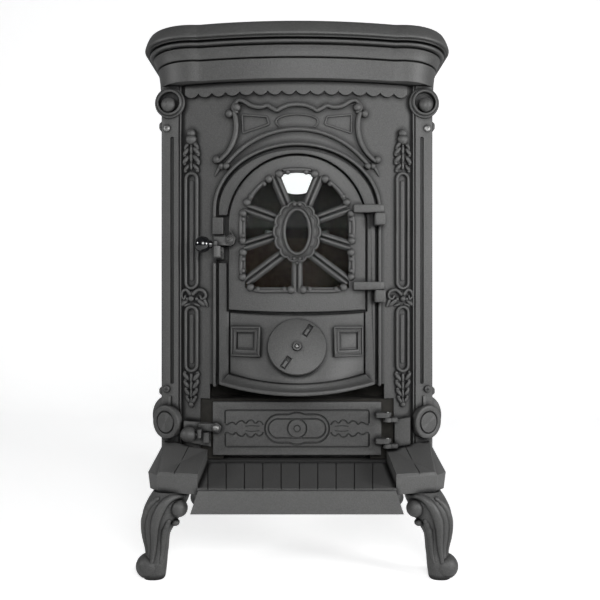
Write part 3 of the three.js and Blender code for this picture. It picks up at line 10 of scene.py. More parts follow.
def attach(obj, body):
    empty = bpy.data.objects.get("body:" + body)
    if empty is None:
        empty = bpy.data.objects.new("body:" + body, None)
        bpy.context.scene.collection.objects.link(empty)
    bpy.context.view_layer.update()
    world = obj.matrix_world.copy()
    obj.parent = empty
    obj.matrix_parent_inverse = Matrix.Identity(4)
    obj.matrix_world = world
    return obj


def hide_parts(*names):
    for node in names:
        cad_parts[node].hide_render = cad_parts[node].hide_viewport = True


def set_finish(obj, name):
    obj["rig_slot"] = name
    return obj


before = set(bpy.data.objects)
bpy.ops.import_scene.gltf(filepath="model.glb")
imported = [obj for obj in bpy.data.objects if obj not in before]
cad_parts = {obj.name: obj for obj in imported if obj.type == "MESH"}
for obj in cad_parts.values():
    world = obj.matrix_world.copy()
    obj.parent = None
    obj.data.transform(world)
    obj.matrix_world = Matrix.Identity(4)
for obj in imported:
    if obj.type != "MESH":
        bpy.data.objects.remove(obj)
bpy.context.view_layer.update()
scene = bpy.context.scene
scene.view_settings.view_transform = "Standard"

# In pixels: the picture's side, the camera's focal length, and how far the view is shifted.
picture_side, focal_length, shift_right, shift_up = 600, 675, 3, -2
camera = bpy.data.objects.new("camera", bpy.data.cameras.new("camera"))
camera.location = (0, -1.17, 0.405)
camera.rotation_euler = (math.pi / 2, 0, 0)
camera.data.lens = camera.data.sensor_width * focal_length / picture_side
camera.data.shift_x = shift_right / picture_side
camera.data.shift_y = shift_up / picture_side
scene.collection.objects.link(camera)
scene.camera = camera


def seen_directly(tree):
    """A socket that is 1 for what the camera sees, also through glass, and 0 for other light."""
    path, either = tree.nodes.new("ShaderNodeLightPath"), tree.nodes.new("ShaderNodeMath")
    either.operation = "MAXIMUM"
    tree.links.new(path.outputs["Is Camera Ray"], either.inputs[0])
    tree.links.new(path.outputs["Is Transmission Ray"], either.inputs[1])
    return either.outputs[0]


# The camera sees a white background, but the light that falls on the stove is faint and bluish.
studio = bpy.data.worlds.new("studio")
studio.use_nodes = True
nodes, links = studio.node_tree.nodes, studio.node_tree.links
nodes.clear()
air, white = nodes.new("ShaderNodeBackground"), nodes.new("ShaderNodeBackground")
air.inputs["Color"].default_value = (0.93, 0.96, 1, 1)
air.inputs["Strength"].default_value = 0.07
white.inputs["Color"].default_value = (1, 1, 1, 1)
pick = nodes.new("ShaderNodeMixShader")
links.new(seen_directly(studio.node_tree), pick.inputs["Fac"])
links.new(air.outputs[0], pick.inputs[1])
links.new(white.outputs[0], pick.inputs[2])
links.new(pick.outputs[0], nodes.new("ShaderNodeOutputWorld").inputs["Surface"])
scene.world = studio


def lamp(name, size, power, place, target=(0, 0, 0.42)):
    """A round soft lamp at a place, turned to its target."""
    light = bpy.data.lights.new(name, "AREA")
    light.shape, light.size, light.energy = "DISK", size, power
    thing = bpy.data.objects.new(name, light)
    thing.location = place
    thing.rotation_euler = (Vector(target) - Vector(place)).to_track_quat("-Z", "Y").to_euler()
    scene.collection.objects.link(thing)


lamp("front_lamp", 0.7, 9.5, (0.16, -1.3, 0.76), (0, 0, 0.7))
lamp("right_lamp", 0.7, 28, (1.9, -1.1, 0.8))
lamp("left_lamp", 0.5, 12, (-1.9, -0.8, 1.0))


def new_material(name):
    """A material, the nodes and the links of its tree, and its shader."""
    material = bpy.data.materials.new(name)
    material.use_nodes = True
    tree = material.node_tree
    return material, tree.nodes, tree.links, tree.nodes["Principled BSDF"]


floor_paint, nodes, links, paint = new_material("pale_floor")
paint.inputs["Base Color"].default_value = (0.92, 0.92, 0.92, 1)
paint.inputs["Roughness"].default_value = 0.9
# The lamps leave the floor a little grey, so the camera sees some light added to it.
paint.inputs["Emission Color"].default_value = (1, 1, 1, 1)
glow = nodes.new("ShaderNodeMath")
glow.operation = "MULTIPLY"
glow.inputs[1].default_value = 0.62
links.new(seen_directly(floor_paint.node_tree), glow.inputs[0])
links.new(glow.outputs[0], paint.inputs["Emission Strength"])
floor_front, wall_at, wall_top, cove, half_width, sunk = -3.0, 1.6, 3.0, 0.5, 4, 0.0005
profile = [(floor_front, 0.0), (wall_at - cove, 0.0)]
for step in range(1, 13):
    a = step * math.pi / 24
    profile.append((wall_at - cove + cove * math.sin(a), cove - cove * math.cos(a)))
profile.append((wall_at, wall_top))
floor_mesh = bpy.data.meshes.new("studio_floor")
floor_mesh.from_pydata(
    [(x, y, z - sunk) for y, z in profile for x in (-half_width, half_width)],
    [],
    [(2 * k, 2 * k + 1, 2 * k + 3, 2 * k + 2) for k in range(len(profile) - 1)],
)
floor_mesh.shade_smooth()
floor_mesh.materials.append(floor_paint)
studio_floor = bpy.data.objects.new("studio_floor", floor_mesh)
scene.collection.objects.link(studio_floor)


# The base casting: the stove's floor, with a wing on each side of the hearth. Sand-cast grey
# iron sprayed with matt stove paint; its mould's edges are slightly rounded.
def noise_over(nodes, links, scale, detail=2):
    """The values of a noise that lies fixed in each piece."""
    texture, place = nodes.new("ShaderNodeTexNoise"), nodes.new("ShaderNodeTexCoord")
    texture.inputs["Scale"].default_value = scale
    texture.inputs["Detail"].default_value = detail
    links.new(place.outputs["Object"], texture.inputs["Vector"])
    return texture.outputs["Fac"]


def sand_cast_paint(name, grey, roughness, edge_highlight_strength):
    """Sprayed paint on sand-cast iron: grainy, specked and slowly changing in tone, with painted shade in
    hollows and painted highlights on sharp edges.
    """
    material, nodes, links, shader = new_material(name)
    new, join = nodes.new, links.new

    def combine(kind, a, b):
        """The result of one sum; a and b are sockets or numbers."""
        node = new("ShaderNodeMath")
        node.operation = kind
        for socket, value in zip(node.inputs, (a, b)):
            if isinstance(value, (int, float)):
                socket.default_value = value
            else:
                join(value, socket)
        return node.outputs[0]

    def around(value, size):
        """A noise as a change about zero."""
        return combine("MULTIPLY", combine("SUBTRACT", value, 0.5), size)

    def stretched(value, low, high):
        """A value as a share: 0 up to low, and 1 from high on."""
        node = new("ShaderNodeMapRange")
        node.inputs["From Min"].default_value, node.inputs["From Max"].default_value = low, high
        join(value, node.inputs["Value"])
        return node.outputs["Result"]

    grain, slow, speck = (noise_over(nodes, links, *size) for size in ((520, 3), (8, 4), (1300, 2)))
    swing = combine("ADD", around(slow, 0.5), combine("ADD", around(speck, 1.3), around(grain, 0.9)))
    # Sharp edges, where pointiness is high, are painted lighter: a painted highlight.
    edges = new("ShaderNodeNewGeometry").outputs["Pointiness"]
    edge_highlight = combine("MULTIPLY", stretched(edges, 0.52, 0.6), edge_highlight_strength)
    # Where two surfaces face each other within 8.5 mm, as in narrow hollows, the colour is darkened: painted
    # shade.
    painted_shade_ao = new("ShaderNodeAmbientOcclusion")
    painted_shade_ao.samples = 8
    painted_shade_ao.inputs["Distance"].default_value = 0.0085
    openness = combine("POWER", stretched(painted_shade_ao.outputs["AO"], 0.54, 0.96), 3.0)
    darkest_painted_shade = 0.03
    shade = combine("ADD", combine("MULTIPLY", openness, 1 - darkest_painted_shade), darkest_painted_shade)
    tint = new("ShaderNodeVectorMath")
    tint.operation = "SCALE"
    tint.inputs[0].default_value = grey
    tone = combine("ADD", combine("ADD", swing, 1.0), edge_highlight)
    join(combine("MULTIPLY", tone, shade), tint.inputs["Scale"])
    join(tint.outputs["Vector"], shader.inputs["Base Color"])
    join(combine("ADD", around(grain, 0.2), roughness), shader.inputs["Roughness"])
    bump = new("ShaderNodeBump")
    bump.inputs["Strength"].default_value = 0.75
    bump.inputs["Distance"].default_value = 0.0005
    join(grain, bump.inputs["Height"])
    join(bump.outputs["Normal"], shader.inputs["Normal"])
    return material


grey_paint = sand_cast_paint("grey_stove_paint", (0.064, 0.064, 0.063), roughness=0.5, edge_highlight_strength=0.4)


def finish_node(name, material, slot="cast_iron", edge=0.8):
    """Gives a piece that keeps its CAD shape its finish, with its edges rounded by edge millimetres."""
    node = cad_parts[name]
    node.data.materials.clear()
    node.data.materials.append(material)
    for polygon in node.data.polygons:
        polygon.material_index = 0
        polygon.use_smooth = False
    if edge:
        softened = node.modifiers.new("rounded_edges", "BEVEL")
        softened.width, softened.segments = edge / 1000, 2
        softened.limit_method, softened.angle_limit = "ANGLE", math.radians(35)
        softened.use_clamp_overlap = True
    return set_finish(node, slot)


finish_node("base_plate", grey_paint, edge=1.2)


# The four cabriole legs: cast in one pattern, with ribs down the shin, a scroll behind the
# knee and a ball toe that curls outwards. Each hangs from one bolt through the base casting.
frame_shift = 0.1


def cast_piece(name, parts, material, *stands_for, body="root", slot="cast_iron", sharp=38):
    """Joins parts given in millimetres into one object that stands for its CAD nodes.

    In the frame everything lies frame_shift further forward than the parts are drawn.
    """
    mesh = bpy.data.meshes.new(name)
    points, faces = [], []
    for part_points, part_faces in parts:
        start = len(points)
        points += [(x / 1000, (y - frame_shift) / 1000, z / 1000) for x, y, z in part_points]
        faces += [tuple(start + i for i in face) for face in part_faces]
    mesh.from_pydata(points, [], faces)
    shell = bmesh.new()
    shell.from_mesh(mesh)
    bmesh.ops.remove_doubles(shell, verts=shell.verts, dist=1e-6)
    bmesh.ops.recalc_face_normals(shell, faces=shell.faces)
    shell.to_mesh(mesh)
    shell.free()
    mesh.shade_smooth()
    mesh.set_sharp_from_angle(angle=math.radians(sharp))
    mesh.materials.append(material)
    thing = bpy.data.objects.new(name, mesh)
    scene.collection.objects.link(thing)
    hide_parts(*stands_for)
    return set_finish(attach(thing, body) or thing, slot)


def skin_over(rings, closed=False):
    """Faces over rings of equally many points, with both ends closed, or the last joined to the first."""
    count = len(rings[0])
    faces = []
    for j in range(len(rings) - (0 if closed else 1)):
        here, there = j * count, (j + 1) % len(rings) * count
        for i in range(count):
            n = (i + 1) % count
            faces.append((here + i, here + n, there + n, there + i))
    if not closed:
        faces += [tuple(range(count)), tuple(range((len(rings) - 1) * count, len(rings) * count))]
    return [tuple(p) for ring in rings for p in ring], faces


def round_lump(centre, radii, turn=None, across=20, up=12, floor=None):
    """A ball or egg; turn is a matrix, and nothing of it goes below floor."""
    centre, turn = Vector(centre), turn or Matrix.Identity(3)
    points, faces = [], []
    for j in range(1, up):
        b = math.pi * j / up - math.pi / 2
        wide, high = math.cos(b), math.sin(b)
        for i in range(across):
            a = 2 * math.pi * i / across
            p = (radii[0] * wide * math.cos(a), radii[1] * wide * math.sin(a), radii[2] * high)
            points.append(centre + turn @ Vector(p))
    points += [centre + turn @ Vector((0, 0, end * radii[2])) for end in (-1, 1)]
    last = (up - 2) * across
    for j in range(0, last, across):
        for i in range(across):
            n = (i + 1) % across
            faces.append((j + i, j + n, j + across + n, j + across + i))
    foot, head = len(points) - 2, len(points) - 1
    faces += [(foot, (i + 1) % across, i) for i in range(across)]
    faces += [(head, last + i, last + (i + 1) % across) for i in range(across)]
    if floor is not None:
        points = [Vector((p.x, p.y, max(p.z, floor))) for p in points]
    return [tuple(p) for p in points], faces


def run_bead(path, size, sides=12, closed=False, round_ends=True):
    """A round bead along a path of points; size is one radius or one for each point."""
    path = [Vector(p) for p in path]
    sizes = list(size) if isinstance(size, (list, tuple)) else [size] * len(path)
    if round_ends and not closed:
        # Three points are added at each end, nearly a radius further on, and grow smaller outwards.
        before, after = (path[0] - path[1]).normalized(), (path[-1] - path[-2]).normalized()
        first, last = sizes[0], sizes[-1]
        for share in (0.92, 0.68, 0.25):
            path = [path[0] + before * first * 0.33, *path, path[-1] + after * last * 0.33]
            sizes = [first * share, *sizes, last * share]
    rings, across = [], None
    for k, here in enumerate(path):
        if closed:
            along = path[(k + 1) % len(path)] - path[k - 1]
        else:
            along = path[min(k + 1, len(path) - 1)] - path[max(k - 1, 0)]
        along.normalize()
        if across is None:
            across = along.orthogonal().normalized()
        across = (across - along * across.dot(along)).normalized()
        other = along.cross(across)
        rings.append([
            here + (across * math.cos(a) + other * math.sin(a)) * sizes[k]
            for a in (2 * math.pi * i / sides for i in range(sides))
        ])
    return skin_over(rings, closed=closed)


def smooth_steps(table, steps):
    """Rows on a smooth curve through the rows of a table, steps of them from each row to the next."""
    rows = []
    for k in range(len(table) - 1):
        a, b, c, d = (table[min(max(j, 0), len(table) - 1)] for j in (k - 1, k, k + 1, k + 2))
        for s in range(steps):
            t = s / steps
            rows.append([
                0.5 * (2 * q + (r - p) * t + (2 * p - 5 * q + 4 * r - u) * t * t
                       + (3 * q - p - 3 * r + u) * t ** 3)
                for p, q, r, u in zip(a, b, c, d)
            ])
    return rows + [list(table[-1])]


# Down a leg: height, how far out and forward its middle lies, and half its thickness.
leg_levels = [
    (123.7, 3, 1, 27), (117, 5.5, 3, 29.5), (108, 9.5, 5.5, 30.6), (98, 14, 7.5, 30),
    (87, 17.4, 8.5, 28.4), (72, 21.4, 9, 23.4), (61, 23.6, 9, 19.6), (50, 23.4, 9, 17.6),
    (39, 23, 10, 16.5), (31, 23.5, 12, 16.2), (20, 25, 14, 17.2), (8, 26, 15, 17), (0, 26, 15, 15.6),
]
# Ribs down the shin: how far out and how high each point lies, and the rib's radius there.
shin_ribs = [
    [(19, 116, 4), (30, 105, 5.4), (38, 85.6, 5.8), (39.2, 62, 5), (36.6, 44, 3.8), (36, 32, 2.2)],
    [(-15, 119, 4), (-1.5, 117, 5.6), (10.5, 108, 7), (19, 91.4, 7.4), (23, 72, 6.4),
     (24.4, 52.5, 5), (26, 36, 4.2), (27.6, 24, 3)],
    [(3, 86, 4), (8, 76, 5.2), (12.4, 62, 4.8), (13.6, 46, 3.8), (14.4, 34, 3), (16, 25, 2)],
]
# The ball toe, the scroll behind the knee and the drop under it: how far out, forward and high
# each lies, its radii, and the number of points round it and up it.
leg_balls = [
    (33, 14, 15.5, (20.6, 20, 18.6), 40, 22),
    (-11.5, 27, 103, (12.4, 12.4, 12.8), 32, 20),
    (-5.5, 25, 82, (6.6, 6, 5.4), 24, 14),
]
leg_tops = {
    "front_left": (-181, -172), "front_right": (181, -172),
    "rear_left": (-155, 138), "rear_right": (155, 138),
}
leg_points, leg_square = 56, 0.035
flange_levels, bolt_inwards, bolt_backwards = (115, leg_levels[0][0]), 13, 37
for place, (x, y) in leg_tops.items():
    side, depth = math.copysign(1, x), math.copysign(1, y)
    shin = smooth_steps(leg_levels, 5)
    rings = []
    for z, out, ahead, size in shin:
        ring = []
        for k in range(leg_points):
            a = 2 * math.pi * k / leg_points
            reach = size * (1 + leg_square * math.cos(4 * a + math.pi))
            leg_x, leg_y = out + reach * math.cos(a), ahead + reach * math.sin(a)
            ring.append((x + side * leg_x, y + depth * leg_y, max(z, 0)))
        rings.append(ring)
    parts = [skin_over(rings)]
    for rib in shin_ribs:
        path, sizes = [], []
        for outward, z, radius in smooth_steps(rib, 5):
            _, middle_out, middle_ahead, size = min(shin, key=lambda row: abs(row[0] - z))
            across = min(abs(outward - middle_out), size * 0.93)
            surface = middle_ahead + math.sqrt(size ** 2 - across ** 2)
            path.append((x + side * outward, y + depth * (surface - radius * 0.45), z))
            sizes.append(radius)
        parts.append(run_bead(path, sizes, sides=14))
    for out, ahead, z, radii, across, up in leg_balls:
        parts.append(round_lump((x + side * out, y + depth * ahead, z), radii, across=across, up=up, floor=0))
    bolt_x, bolt_y = x - side * bolt_inwards, y - depth * bolt_backwards
    left, right = min(bolt_x, x) - 13, max(bolt_x, x) + 13
    near, far = min(bolt_y - 12, y), max(bolt_y + 12, y)
    flange = [(left, near), (right, near), (right, far), (left, far)]
    parts.append(skin_over([[(px, py, z) for px, py in flange] for z in flange_levels]))
    cast_piece(f"cabriole_leg_{place}", parts, grey_paint, f"leg_{place}")


# The leg bolts: zinc-plated hexagon heads under the legs' flanges, out of sight from above.
def roughen(nodes, links, shader, noise, low, high):
    """Lets the shader's roughness follow a noise between two values."""
    rough = nodes.new("ShaderNodeMapRange")
    rough.inputs["To Min"].default_value, rough.inputs["To Max"].default_value = low, high
    links.new(noise, rough.inputs["Value"])
    links.new(rough.outputs["Result"], shader.inputs["Roughness"])


def two_tone(nodes, links, shader, noise, dark, light, ends=(0.35, 0.65)):
    """Lets the shader's colour follow a noise from dark up to the first end to light at the second."""
    tone = nodes.new("ShaderNodeValToRGB")
    for element, colour, position in zip(tone.color_ramp.elements, (dark, light), ends):
        element.color, element.position = (*colour, 1), position
    links.new(noise, tone.inputs["Fac"])
    links.new(tone.outputs["Color"], shader.inputs["Base Color"])


zinc, nodes, links, shader = new_material("zinc_plate")
shader.inputs["Metallic"].default_value = 1
cloudy = noise_over(nodes, links, 300)
two_tone(nodes, links, shader, cloudy, (0.22, 0.22, 0.22), (0.45, 0.45, 0.44), ends=(0, 1))
roughen(nodes, links, shader, cloudy, 0.42, 0.6)
for place in leg_tops:
    finish_node(f"leg_bolt_{place}", zinc, "zinc", edge=0.4)


# The hearth: a shallow ribbed shelf in front of the ash door, with a folded front lip, that
# catches what falls out. Cast in one piece with a tongue that goes under the base casting.
hearth_half, hearth_back, hearth_front, hearth_sheet = 141.7, -98.9, -214.5, 6
lip_top, lip_foot, lip_half, lip_slant = 131.6, 98.3, 151.6, 0.34
# Across one groove between two ribs: how far from its middle each point lies, and how deep.
groove_shape = [(-0.8, 0), (-0.3, 0.8), (0.3, 0.8), (0.8, 0)]
# From the ash door (t = 0) to the lip (t = 1) the hearth falls and its ribs draw closer together.
rings = []
for t in (0, 0.06, 0.2, 0.4, 0.6, 0.8, 0.95, 0.975, 0.982, 1):
    y = hearth_back + (hearth_front + 3.4 - hearth_back) * t
    z = 143.4 - 5.4 * t ** 0.7 - 4.4 * t - (3 if t == 1 else 0)
    pitch = 29.1 - 3.1 * t
    ring = [(-hearth_half, y, z - hearth_sheet), (-hearth_half, y, z)]
    for k in range(-5, 5):
        middle = max(k * pitch + 3.9 - 0.4 * t, 1.1 - hearth_half)
        ring += [(middle + across, y, z - deep) for across, deep in groove_shape]
    ring += [(hearth_half, y, z), (hearth_half, y, z - hearth_sheet)]
    rings.append(ring)
lip = [
    (hearth_front + 6, lip_foot), (hearth_front + 0.8, lip_foot), (hearth_front, lip_foot + 0.8),
    (hearth_front, lip_top - 1), (hearth_front + 0.9, lip_top), (hearth_front + 6, lip_top),
]
tongue = [(hearth_front + 2.4, 124), (hearth_front + 2.4, 129.4), (-60, 136.7), (-60, 130)]
hearth = [
    skin_over(rings),
    skin_over([[(side * (lip_half - (z - lip_foot) * lip_slant), y, z) for y, z in lip] for side in (-1, 1)]),
    skin_over([[(side * (hearth_half - 0.2), y, z) for y, z in tongue] for side in (-1, 1)]),
]
cast_piece("ribbed_hearth", hearth, grey_paint, "hearth_plate", sharp=30)


# The side walls, the rear wall and the smoke spigot: plain castings with a raised border,
# bolted between the front and the back of the stove.
for name in ("side_panel_left", "side_panel_right", "rear_panel", "flue_collar"):
    finish_node(name, grey_paint)
for side in ("left", "right"):
    finish_node(f"flue_bolt_{side}", zinc, "zinc", edge=0.4)


# The corner pilasters: narrow castings that cover the joint between the front and a side, with
# a turned rosette at the top, a thick disc at the foot and a long groove between two screws.
def turned_disc(profile, at, facing, sides=56):
    """A disc turned from (radius, height) pairs, standing on a point and facing a direction."""
    to = Vector(facing).to_track_quat("Z", "Y").to_matrix()
    rings = []
    for radius, height in profile:
        radius = max(radius, 0.02)
        rings.append([
            Vector(at) + to @ Vector((radius * math.cos(a), radius * math.sin(a), height))
            for a in (2 * math.pi * k / sides for k in range(sides))
        ])
    return skin_over(rings)


def rounded(loop, radius, steps=3):
    """A closed outline with its corners rounded."""
    made = []
    for k, here in enumerate(loop):
        here, before, after = Vector(here), Vector(loop[k - 1]), Vector(loop[(k + 1) % len(loop)])
        r = min(radius, (here - before).length * 0.45, (after - here).length * 0.45)
        start, end = here + (before - here).normalized() * r, here + (after - here).normalized() * r
        for s in range(steps + 1):
            t = s / steps
            made.append(tuple((1 - t) ** 2 * start + 2 * t * (1 - t) * here + t * t * end))
    return made


def loose_object(part):
    """A part in millimetres as an object of its own, for the cuts below."""
    mesh = bpy.data.meshes.new("loose")
    mesh.from_pydata(part[0], [], part[1])
    shell = bmesh.new()
    shell.from_mesh(mesh)
    bmesh.ops.remove_doubles(shell, verts=shell.verts, dist=1e-4)
    bmesh.ops.recalc_face_normals(shell, faces=shell.faces)
    shell.to_mesh(mesh)
    shell.free()
    thing = bpy.data.objects.new("loose", mesh)
    scene.collection.objects.link(thing)
    return thing


def carve(part, *cutters):
    """A part with the shapes of the cutters taken out of it."""
    block, tools = loose_object(part), [loose_object(cutter) for cutter in cutters]
    for tool in tools:
        cut = block.modifiers.new("cut", "BOOLEAN")
        cut.operation, cut.solver, cut.object = "DIFFERENCE", "EXACT", tool
    mesh = bpy.data.meshes.new_from_object(block.evaluated_get(bpy.context.evaluated_depsgraph_get()))
    made = [tuple(v.co) for v in mesh.vertices], [tuple(face.vertices) for face in mesh.polygons]
    bpy.data.meshes.remove(mesh)
    for thing in (block, *tools):
        data = thing.data
        bpy.data.objects.remove(thing)
        bpy.data.meshes.remove(data)
    return made


def brick_shape(x, y, z, turn=None, at=(0, 0, 0)):
    """A block between two values along each axis, turned about the origin and then moved."""
    turn = turn or Matrix.Identity(3)
    ring = [(x[0], y[0]), (x[1], y[0]), (x[1], y[1]), (x[0], y[1])]
    return skin_over([[Vector(at) + turn @ Vector((px, py, pz)) for px, py in ring] for pz in z])


# Millimetres, as all that follows: the front's middle and the radius of its bow, and the heights
# between which the castings round the fire chamber stand.
front_y, bow_radius = -106.0, 718.0
base_top, body_top = 147.0, 746.0


def bow_y(x, proud=0.0):
    """The bowed front's surface at x, proud millimetres in front of it."""
    return front_y + bow_radius - math.sqrt((bow_radius + proud) ** 2 - x * x)


corner_turn, corner_x, corner_y = math.radians(12), 202.0, -83.0


def corner_face(x):
    """The face of the right pilaster at x."""
    return corner_y + (x - corner_x) * math.tan(corner_turn)


def facing_out(turn):
    """The level direction that is turned so far from straight forward to the right."""
    return Vector((math.sin(turn), -math.cos(turn), 0))


rosette = [
    (0, -2.4), (24.5, -2.4), (24.9, -1.9), (24.9, 0.6), (24.3, 1.8), (23.2, 2.3), (21.4, 2.3), (20.9, 2.9),
    (20.7, 4.6), (20.0, 5.9), (18.6, 6.5), (17.4, 6.3), (16.6, 5.2), (16.2, 3), (15.4, 0.4), (0, 0.2),
]
rosette_ball = [
    (0, -1), (11.6, -1), (12.2, 1.5), (12, 5), (11, 8.4), (9.2, 11.2), (6.8, 13.2), (3.4, 14.6), (0, 15),
]
foot_flange = [(0, -2.4), (34, -2.4), (34.2, -1.8), (34.2, 0.8), (33.6, 2.2), (32.4, 2.7), (0, 2.7)]
foot_disc = [
    (0, -5), (14, -5), (14, -1), (26.6, -1), (27, -0.6), (27, 7.6), (26.6, 8.9), (25.6, 9.7), (24, 9.9),
    (19.2, 9.8), (18.4, 9.3), (17.8, 8.2), (17.2, 8.1), (16.6, 9.1), (15.8, 9.9), (10, 10.3), (0, 10.4),
]
cross_head = [
    (0, -6), (3, -6), (3, 0.3), (5.3, 0.3), (5.5, 0.6), (5.4, 1.4), (4.6, 2.5), (3.2, 3.1), (1.6, 3.4),
    (0, 3.45),
]
rosette_at, rosette_turn = Vector((204.5, -83, base_top + 572)), math.radians(7)
rosette_ball_at = Vector((205.6, -82.8, base_top + 567.4))
foot_at, foot_turn = Vector((206.5, -79.3, base_top + 58.7)), math.radians(31)
# The edge beside the front and the groove along it: a point's x, the x at which the face is read
# for it, and how far behind the face it lies.
inner_edge = [
    (185.9, 186, 0.6), (186.4, 186.4, 0), (187.9, 187.9, 0), (188.4, 188.4, 0.6),
    (188.6, 188.6, 2.2), (190, 190, 2.2), (190.2, 190.2, 0.6), (190.8, 190.8, 0),
]
outer_edge = [
    (215.2, corner_face(215.2)), (217, corner_face(217) + 0.3), (218.4, corner_face(217) + 1.2),
    (219.3, -77), (219.6, -75), (219.6, -52), (210, -52), (210, -59), (196.2, -70),
    (195.6, bow_y(195.6, 0.3)),
]
slot_x, slot_half, slot_deep = 201, 2.7, 3.6
slot_foot, slot_head = base_top + 119.5, base_top + 517.6
slot_round = [slot_half * (1 - math.cos(math.pi * k / 12)) for k in range(1, 7)]
levels = [base_top + 0.3, slot_foot - 0.05]
levels += [slot_foot + rise for rise in slot_round]
levels += [slot_head - rise for rise in reversed(slot_round)]
levels += [slot_head + 0.05, body_top - 0.3]
for word, side in (("left", -1), ("right", 1)):
    mirror = Vector((side, 1, 1))
    rings = []
    for z in levels:
        into = min(z - slot_foot, slot_head - z, slot_half)
        half = math.sqrt(max(slot_half ** 2 - (slot_half - into) ** 2, 0)) if into > 0 else 0
        deep = slot_deep if half else 0
        half = max(half, 0.2)
        left, right = slot_x - half, slot_x + half
        plan = [(185.8, bow_y(185.8, 0.3))]
        plan += [(x, corner_face(read_at) + behind) for x, read_at, behind in inner_edge]
        plan += [(left - 0.3, corner_face(left - 0.3)), (left, corner_face(left) + deep * 0.3)]
        plan += [(slot_x + way * half * 0.8, corner_face(slot_x) + deep) for way in (-1, 1)]
        plan += [(right, corner_face(right) + deep * 0.3), (right + 0.3, corner_face(right + 0.3))]
        plan += outer_edge
        rings.append([(side * x, y, z) for x, y in plan])
    rosette_out, foot_out = facing_out(rosette_turn) * mirror, facing_out(foot_turn) * mirror
    parts = [
        skin_over(rings),
        turned_disc(rosette, rosette_at * mirror, rosette_out),
        turned_disc(rosette_ball, rosette_ball_at * mirror, rosette_out),
        turned_disc(foot_disc, foot_at * mirror, foot_out),
    ]
    # The flange round the foot's disc is there only on the side away from the front.
    flange = turned_disc(foot_flange, foot_at * mirror + Vector((0, 0, 8)), foot_out)
    parts.append(carve(flange, brick_shape((-203, 203), (-200, 100), (0, 500))))
    # Beside each screw an ear stands out sideways.
    for low, high in ((98, 117), (526, 546)):
        ear = rounded([(215, low), (223.4, low + 5), (223.4, high - 5), (215, high)], 3)
        rings = []
        for y, inset in ((-77.5, 2), (-77, 0.6), (-76, 0), (-62, 0)):
            rings.append([(side * (x - inset), y, base_top + z) for x, z in ear])
        parts.append(skin_over(rings))
    cast_piece(f"corner_pilaster_{word}", parts, grey_paint, f"pilaster_{word}", sharp=40)
    # Round-head screws with a cross recess; the lower one was painted over with the stove.
    out = facing_out(corner_turn)
    along_face = Vector((math.cos(corner_turn), math.sin(corner_turn), 0))
    to = (out * mirror).to_track_quat("Z", "Y").to_matrix()
    for level, height, paint in (("lower", 111.5, grey_paint), ("upper", 531.5, zinc)):
        at = (Vector((corner_x, corner_y, base_top + height)) + along_face * 8) * mirror
        head = turned_disc(cross_head, at, out * mirror, 28)
        long, short = (-3, 3), (-0.55, 0.55)
        cross = [brick_shape(x, y, (1.6, 5), to, at) for x, y in ((long, short), (short, long))]
        name, stands_for = f"cross_screw_{word}_{level}", f"pilaster_screw_{word}_{level}"
        cast_piece(name, [carve(head, *cross)], paint, stands_for, slot="zinc", sharp=35)


# The front: one bowed casting with the arched fire opening, the ash opening, a raised strip
# and a bead round the arch, a scalloped apron, and cast ornament over and beside the arch.
def flat_plate(loops, back, front, edge, cuts=0, onto=None):
    """A plate with round edges from closed outlines in the front view.

    The first loop is its outside and the rest are holes. Where cuts is given the plate is cut
    into strips so many millimetres wide, so that onto can bend it over the bow.
    """
    drawing = bpy.data.curves.new("drawing", "CURVE")
    drawing.dimensions, drawing.fill_mode = "2D", "BOTH"
    drawing.extrude = (front - back) / 2 - edge
    drawing.bevel_depth, drawing.bevel_resolution, drawing.offset = edge, 2, -edge
    for loop in loops:
        line = drawing.splines.new("POLY")
        line.points.add(len(loop) - 1)
        for point, (x, z) in zip(line.points, loop):
            point.co = (x, z, 0, 1)
        line.use_cyclic_u = True
    holder = bpy.data.objects.new("drawing", drawing)
    scene.collection.objects.link(holder)
    mesh = bpy.data.meshes.new_from_object(holder.evaluated_get(bpy.context.evaluated_depsgraph_get()))
    shell = bmesh.new()
    shell.from_mesh(mesh)
    bmesh.ops.remove_doubles(shell, verts=shell.verts, dist=1e-4)
    if cuts:
        low, high = min(v.co.x for v in shell.verts), max(v.co.x for v in shell.verts)
        for k in range(math.ceil(low / cuts), math.floor(high / cuts) + 1):
            if low + 0.5 < k * cuts < high - 0.5:
                everything = shell.verts[:] + shell.edges[:] + shell.faces[:]
                bmesh.ops.bisect_plane(shell, geom=everything, plane_co=(k * cuts, 0, 0), plane_no=(1, 0, 0))
    middle = (front + back) / 2
    points = [(v.co.x, v.co.y, middle + v.co.z) for v in shell.verts]
    shell.verts.index_update()
    faces = [tuple(v.index for v in f.verts) for f in shell.faces]
    shell.free()
    bpy.data.objects.remove(holder)
    bpy.data.curves.remove(drawing)
    bpy.data.meshes.remove(mesh)
    onto = onto or (lambda x, z, proud: (x, bow_y(x, proud), z))
    return [onto(*p) for p in points], faces


def curve_through(points, steps=6):
    """A smooth line through points of the front view."""
    return [tuple(row) for row in smooth_steps(points, steps)]


def on_bow(points, lift):
    """Points of the front view laid on the bowed front, lift millimetres off it."""
    return [(x, bow_y(x, lift), z) for x, z in points]


def arc(middle_x, middle_z, radius, start, end, steps):
    """Points on a circle in the front view; the angles are degrees from the right, anticlockwise."""
    angles = [math.radians(start + (end - start) * k / steps) for k in range(steps + 1)]
    return [(middle_x + radius * math.cos(a), middle_z + radius * math.sin(a)) for a in angles]


def arch_loop(radius, middle_z, foot, sag=0.0, steps=48):
    """A half-round arch down to a foot that is level, or hangs through by sag in its middle."""
    if not sag:
        return arc(0, middle_z, radius, 0, 180, steps) + [(-radius, foot), (radius, foot)]
    bottom = [(-radius + 2 * radius * k / 16, foot - sag * (1 - (2 * k / 16 - 1) ** 2)) for k in range(17)]
    return arc(0, middle_z, radius, 0, 180, steps) + bottom


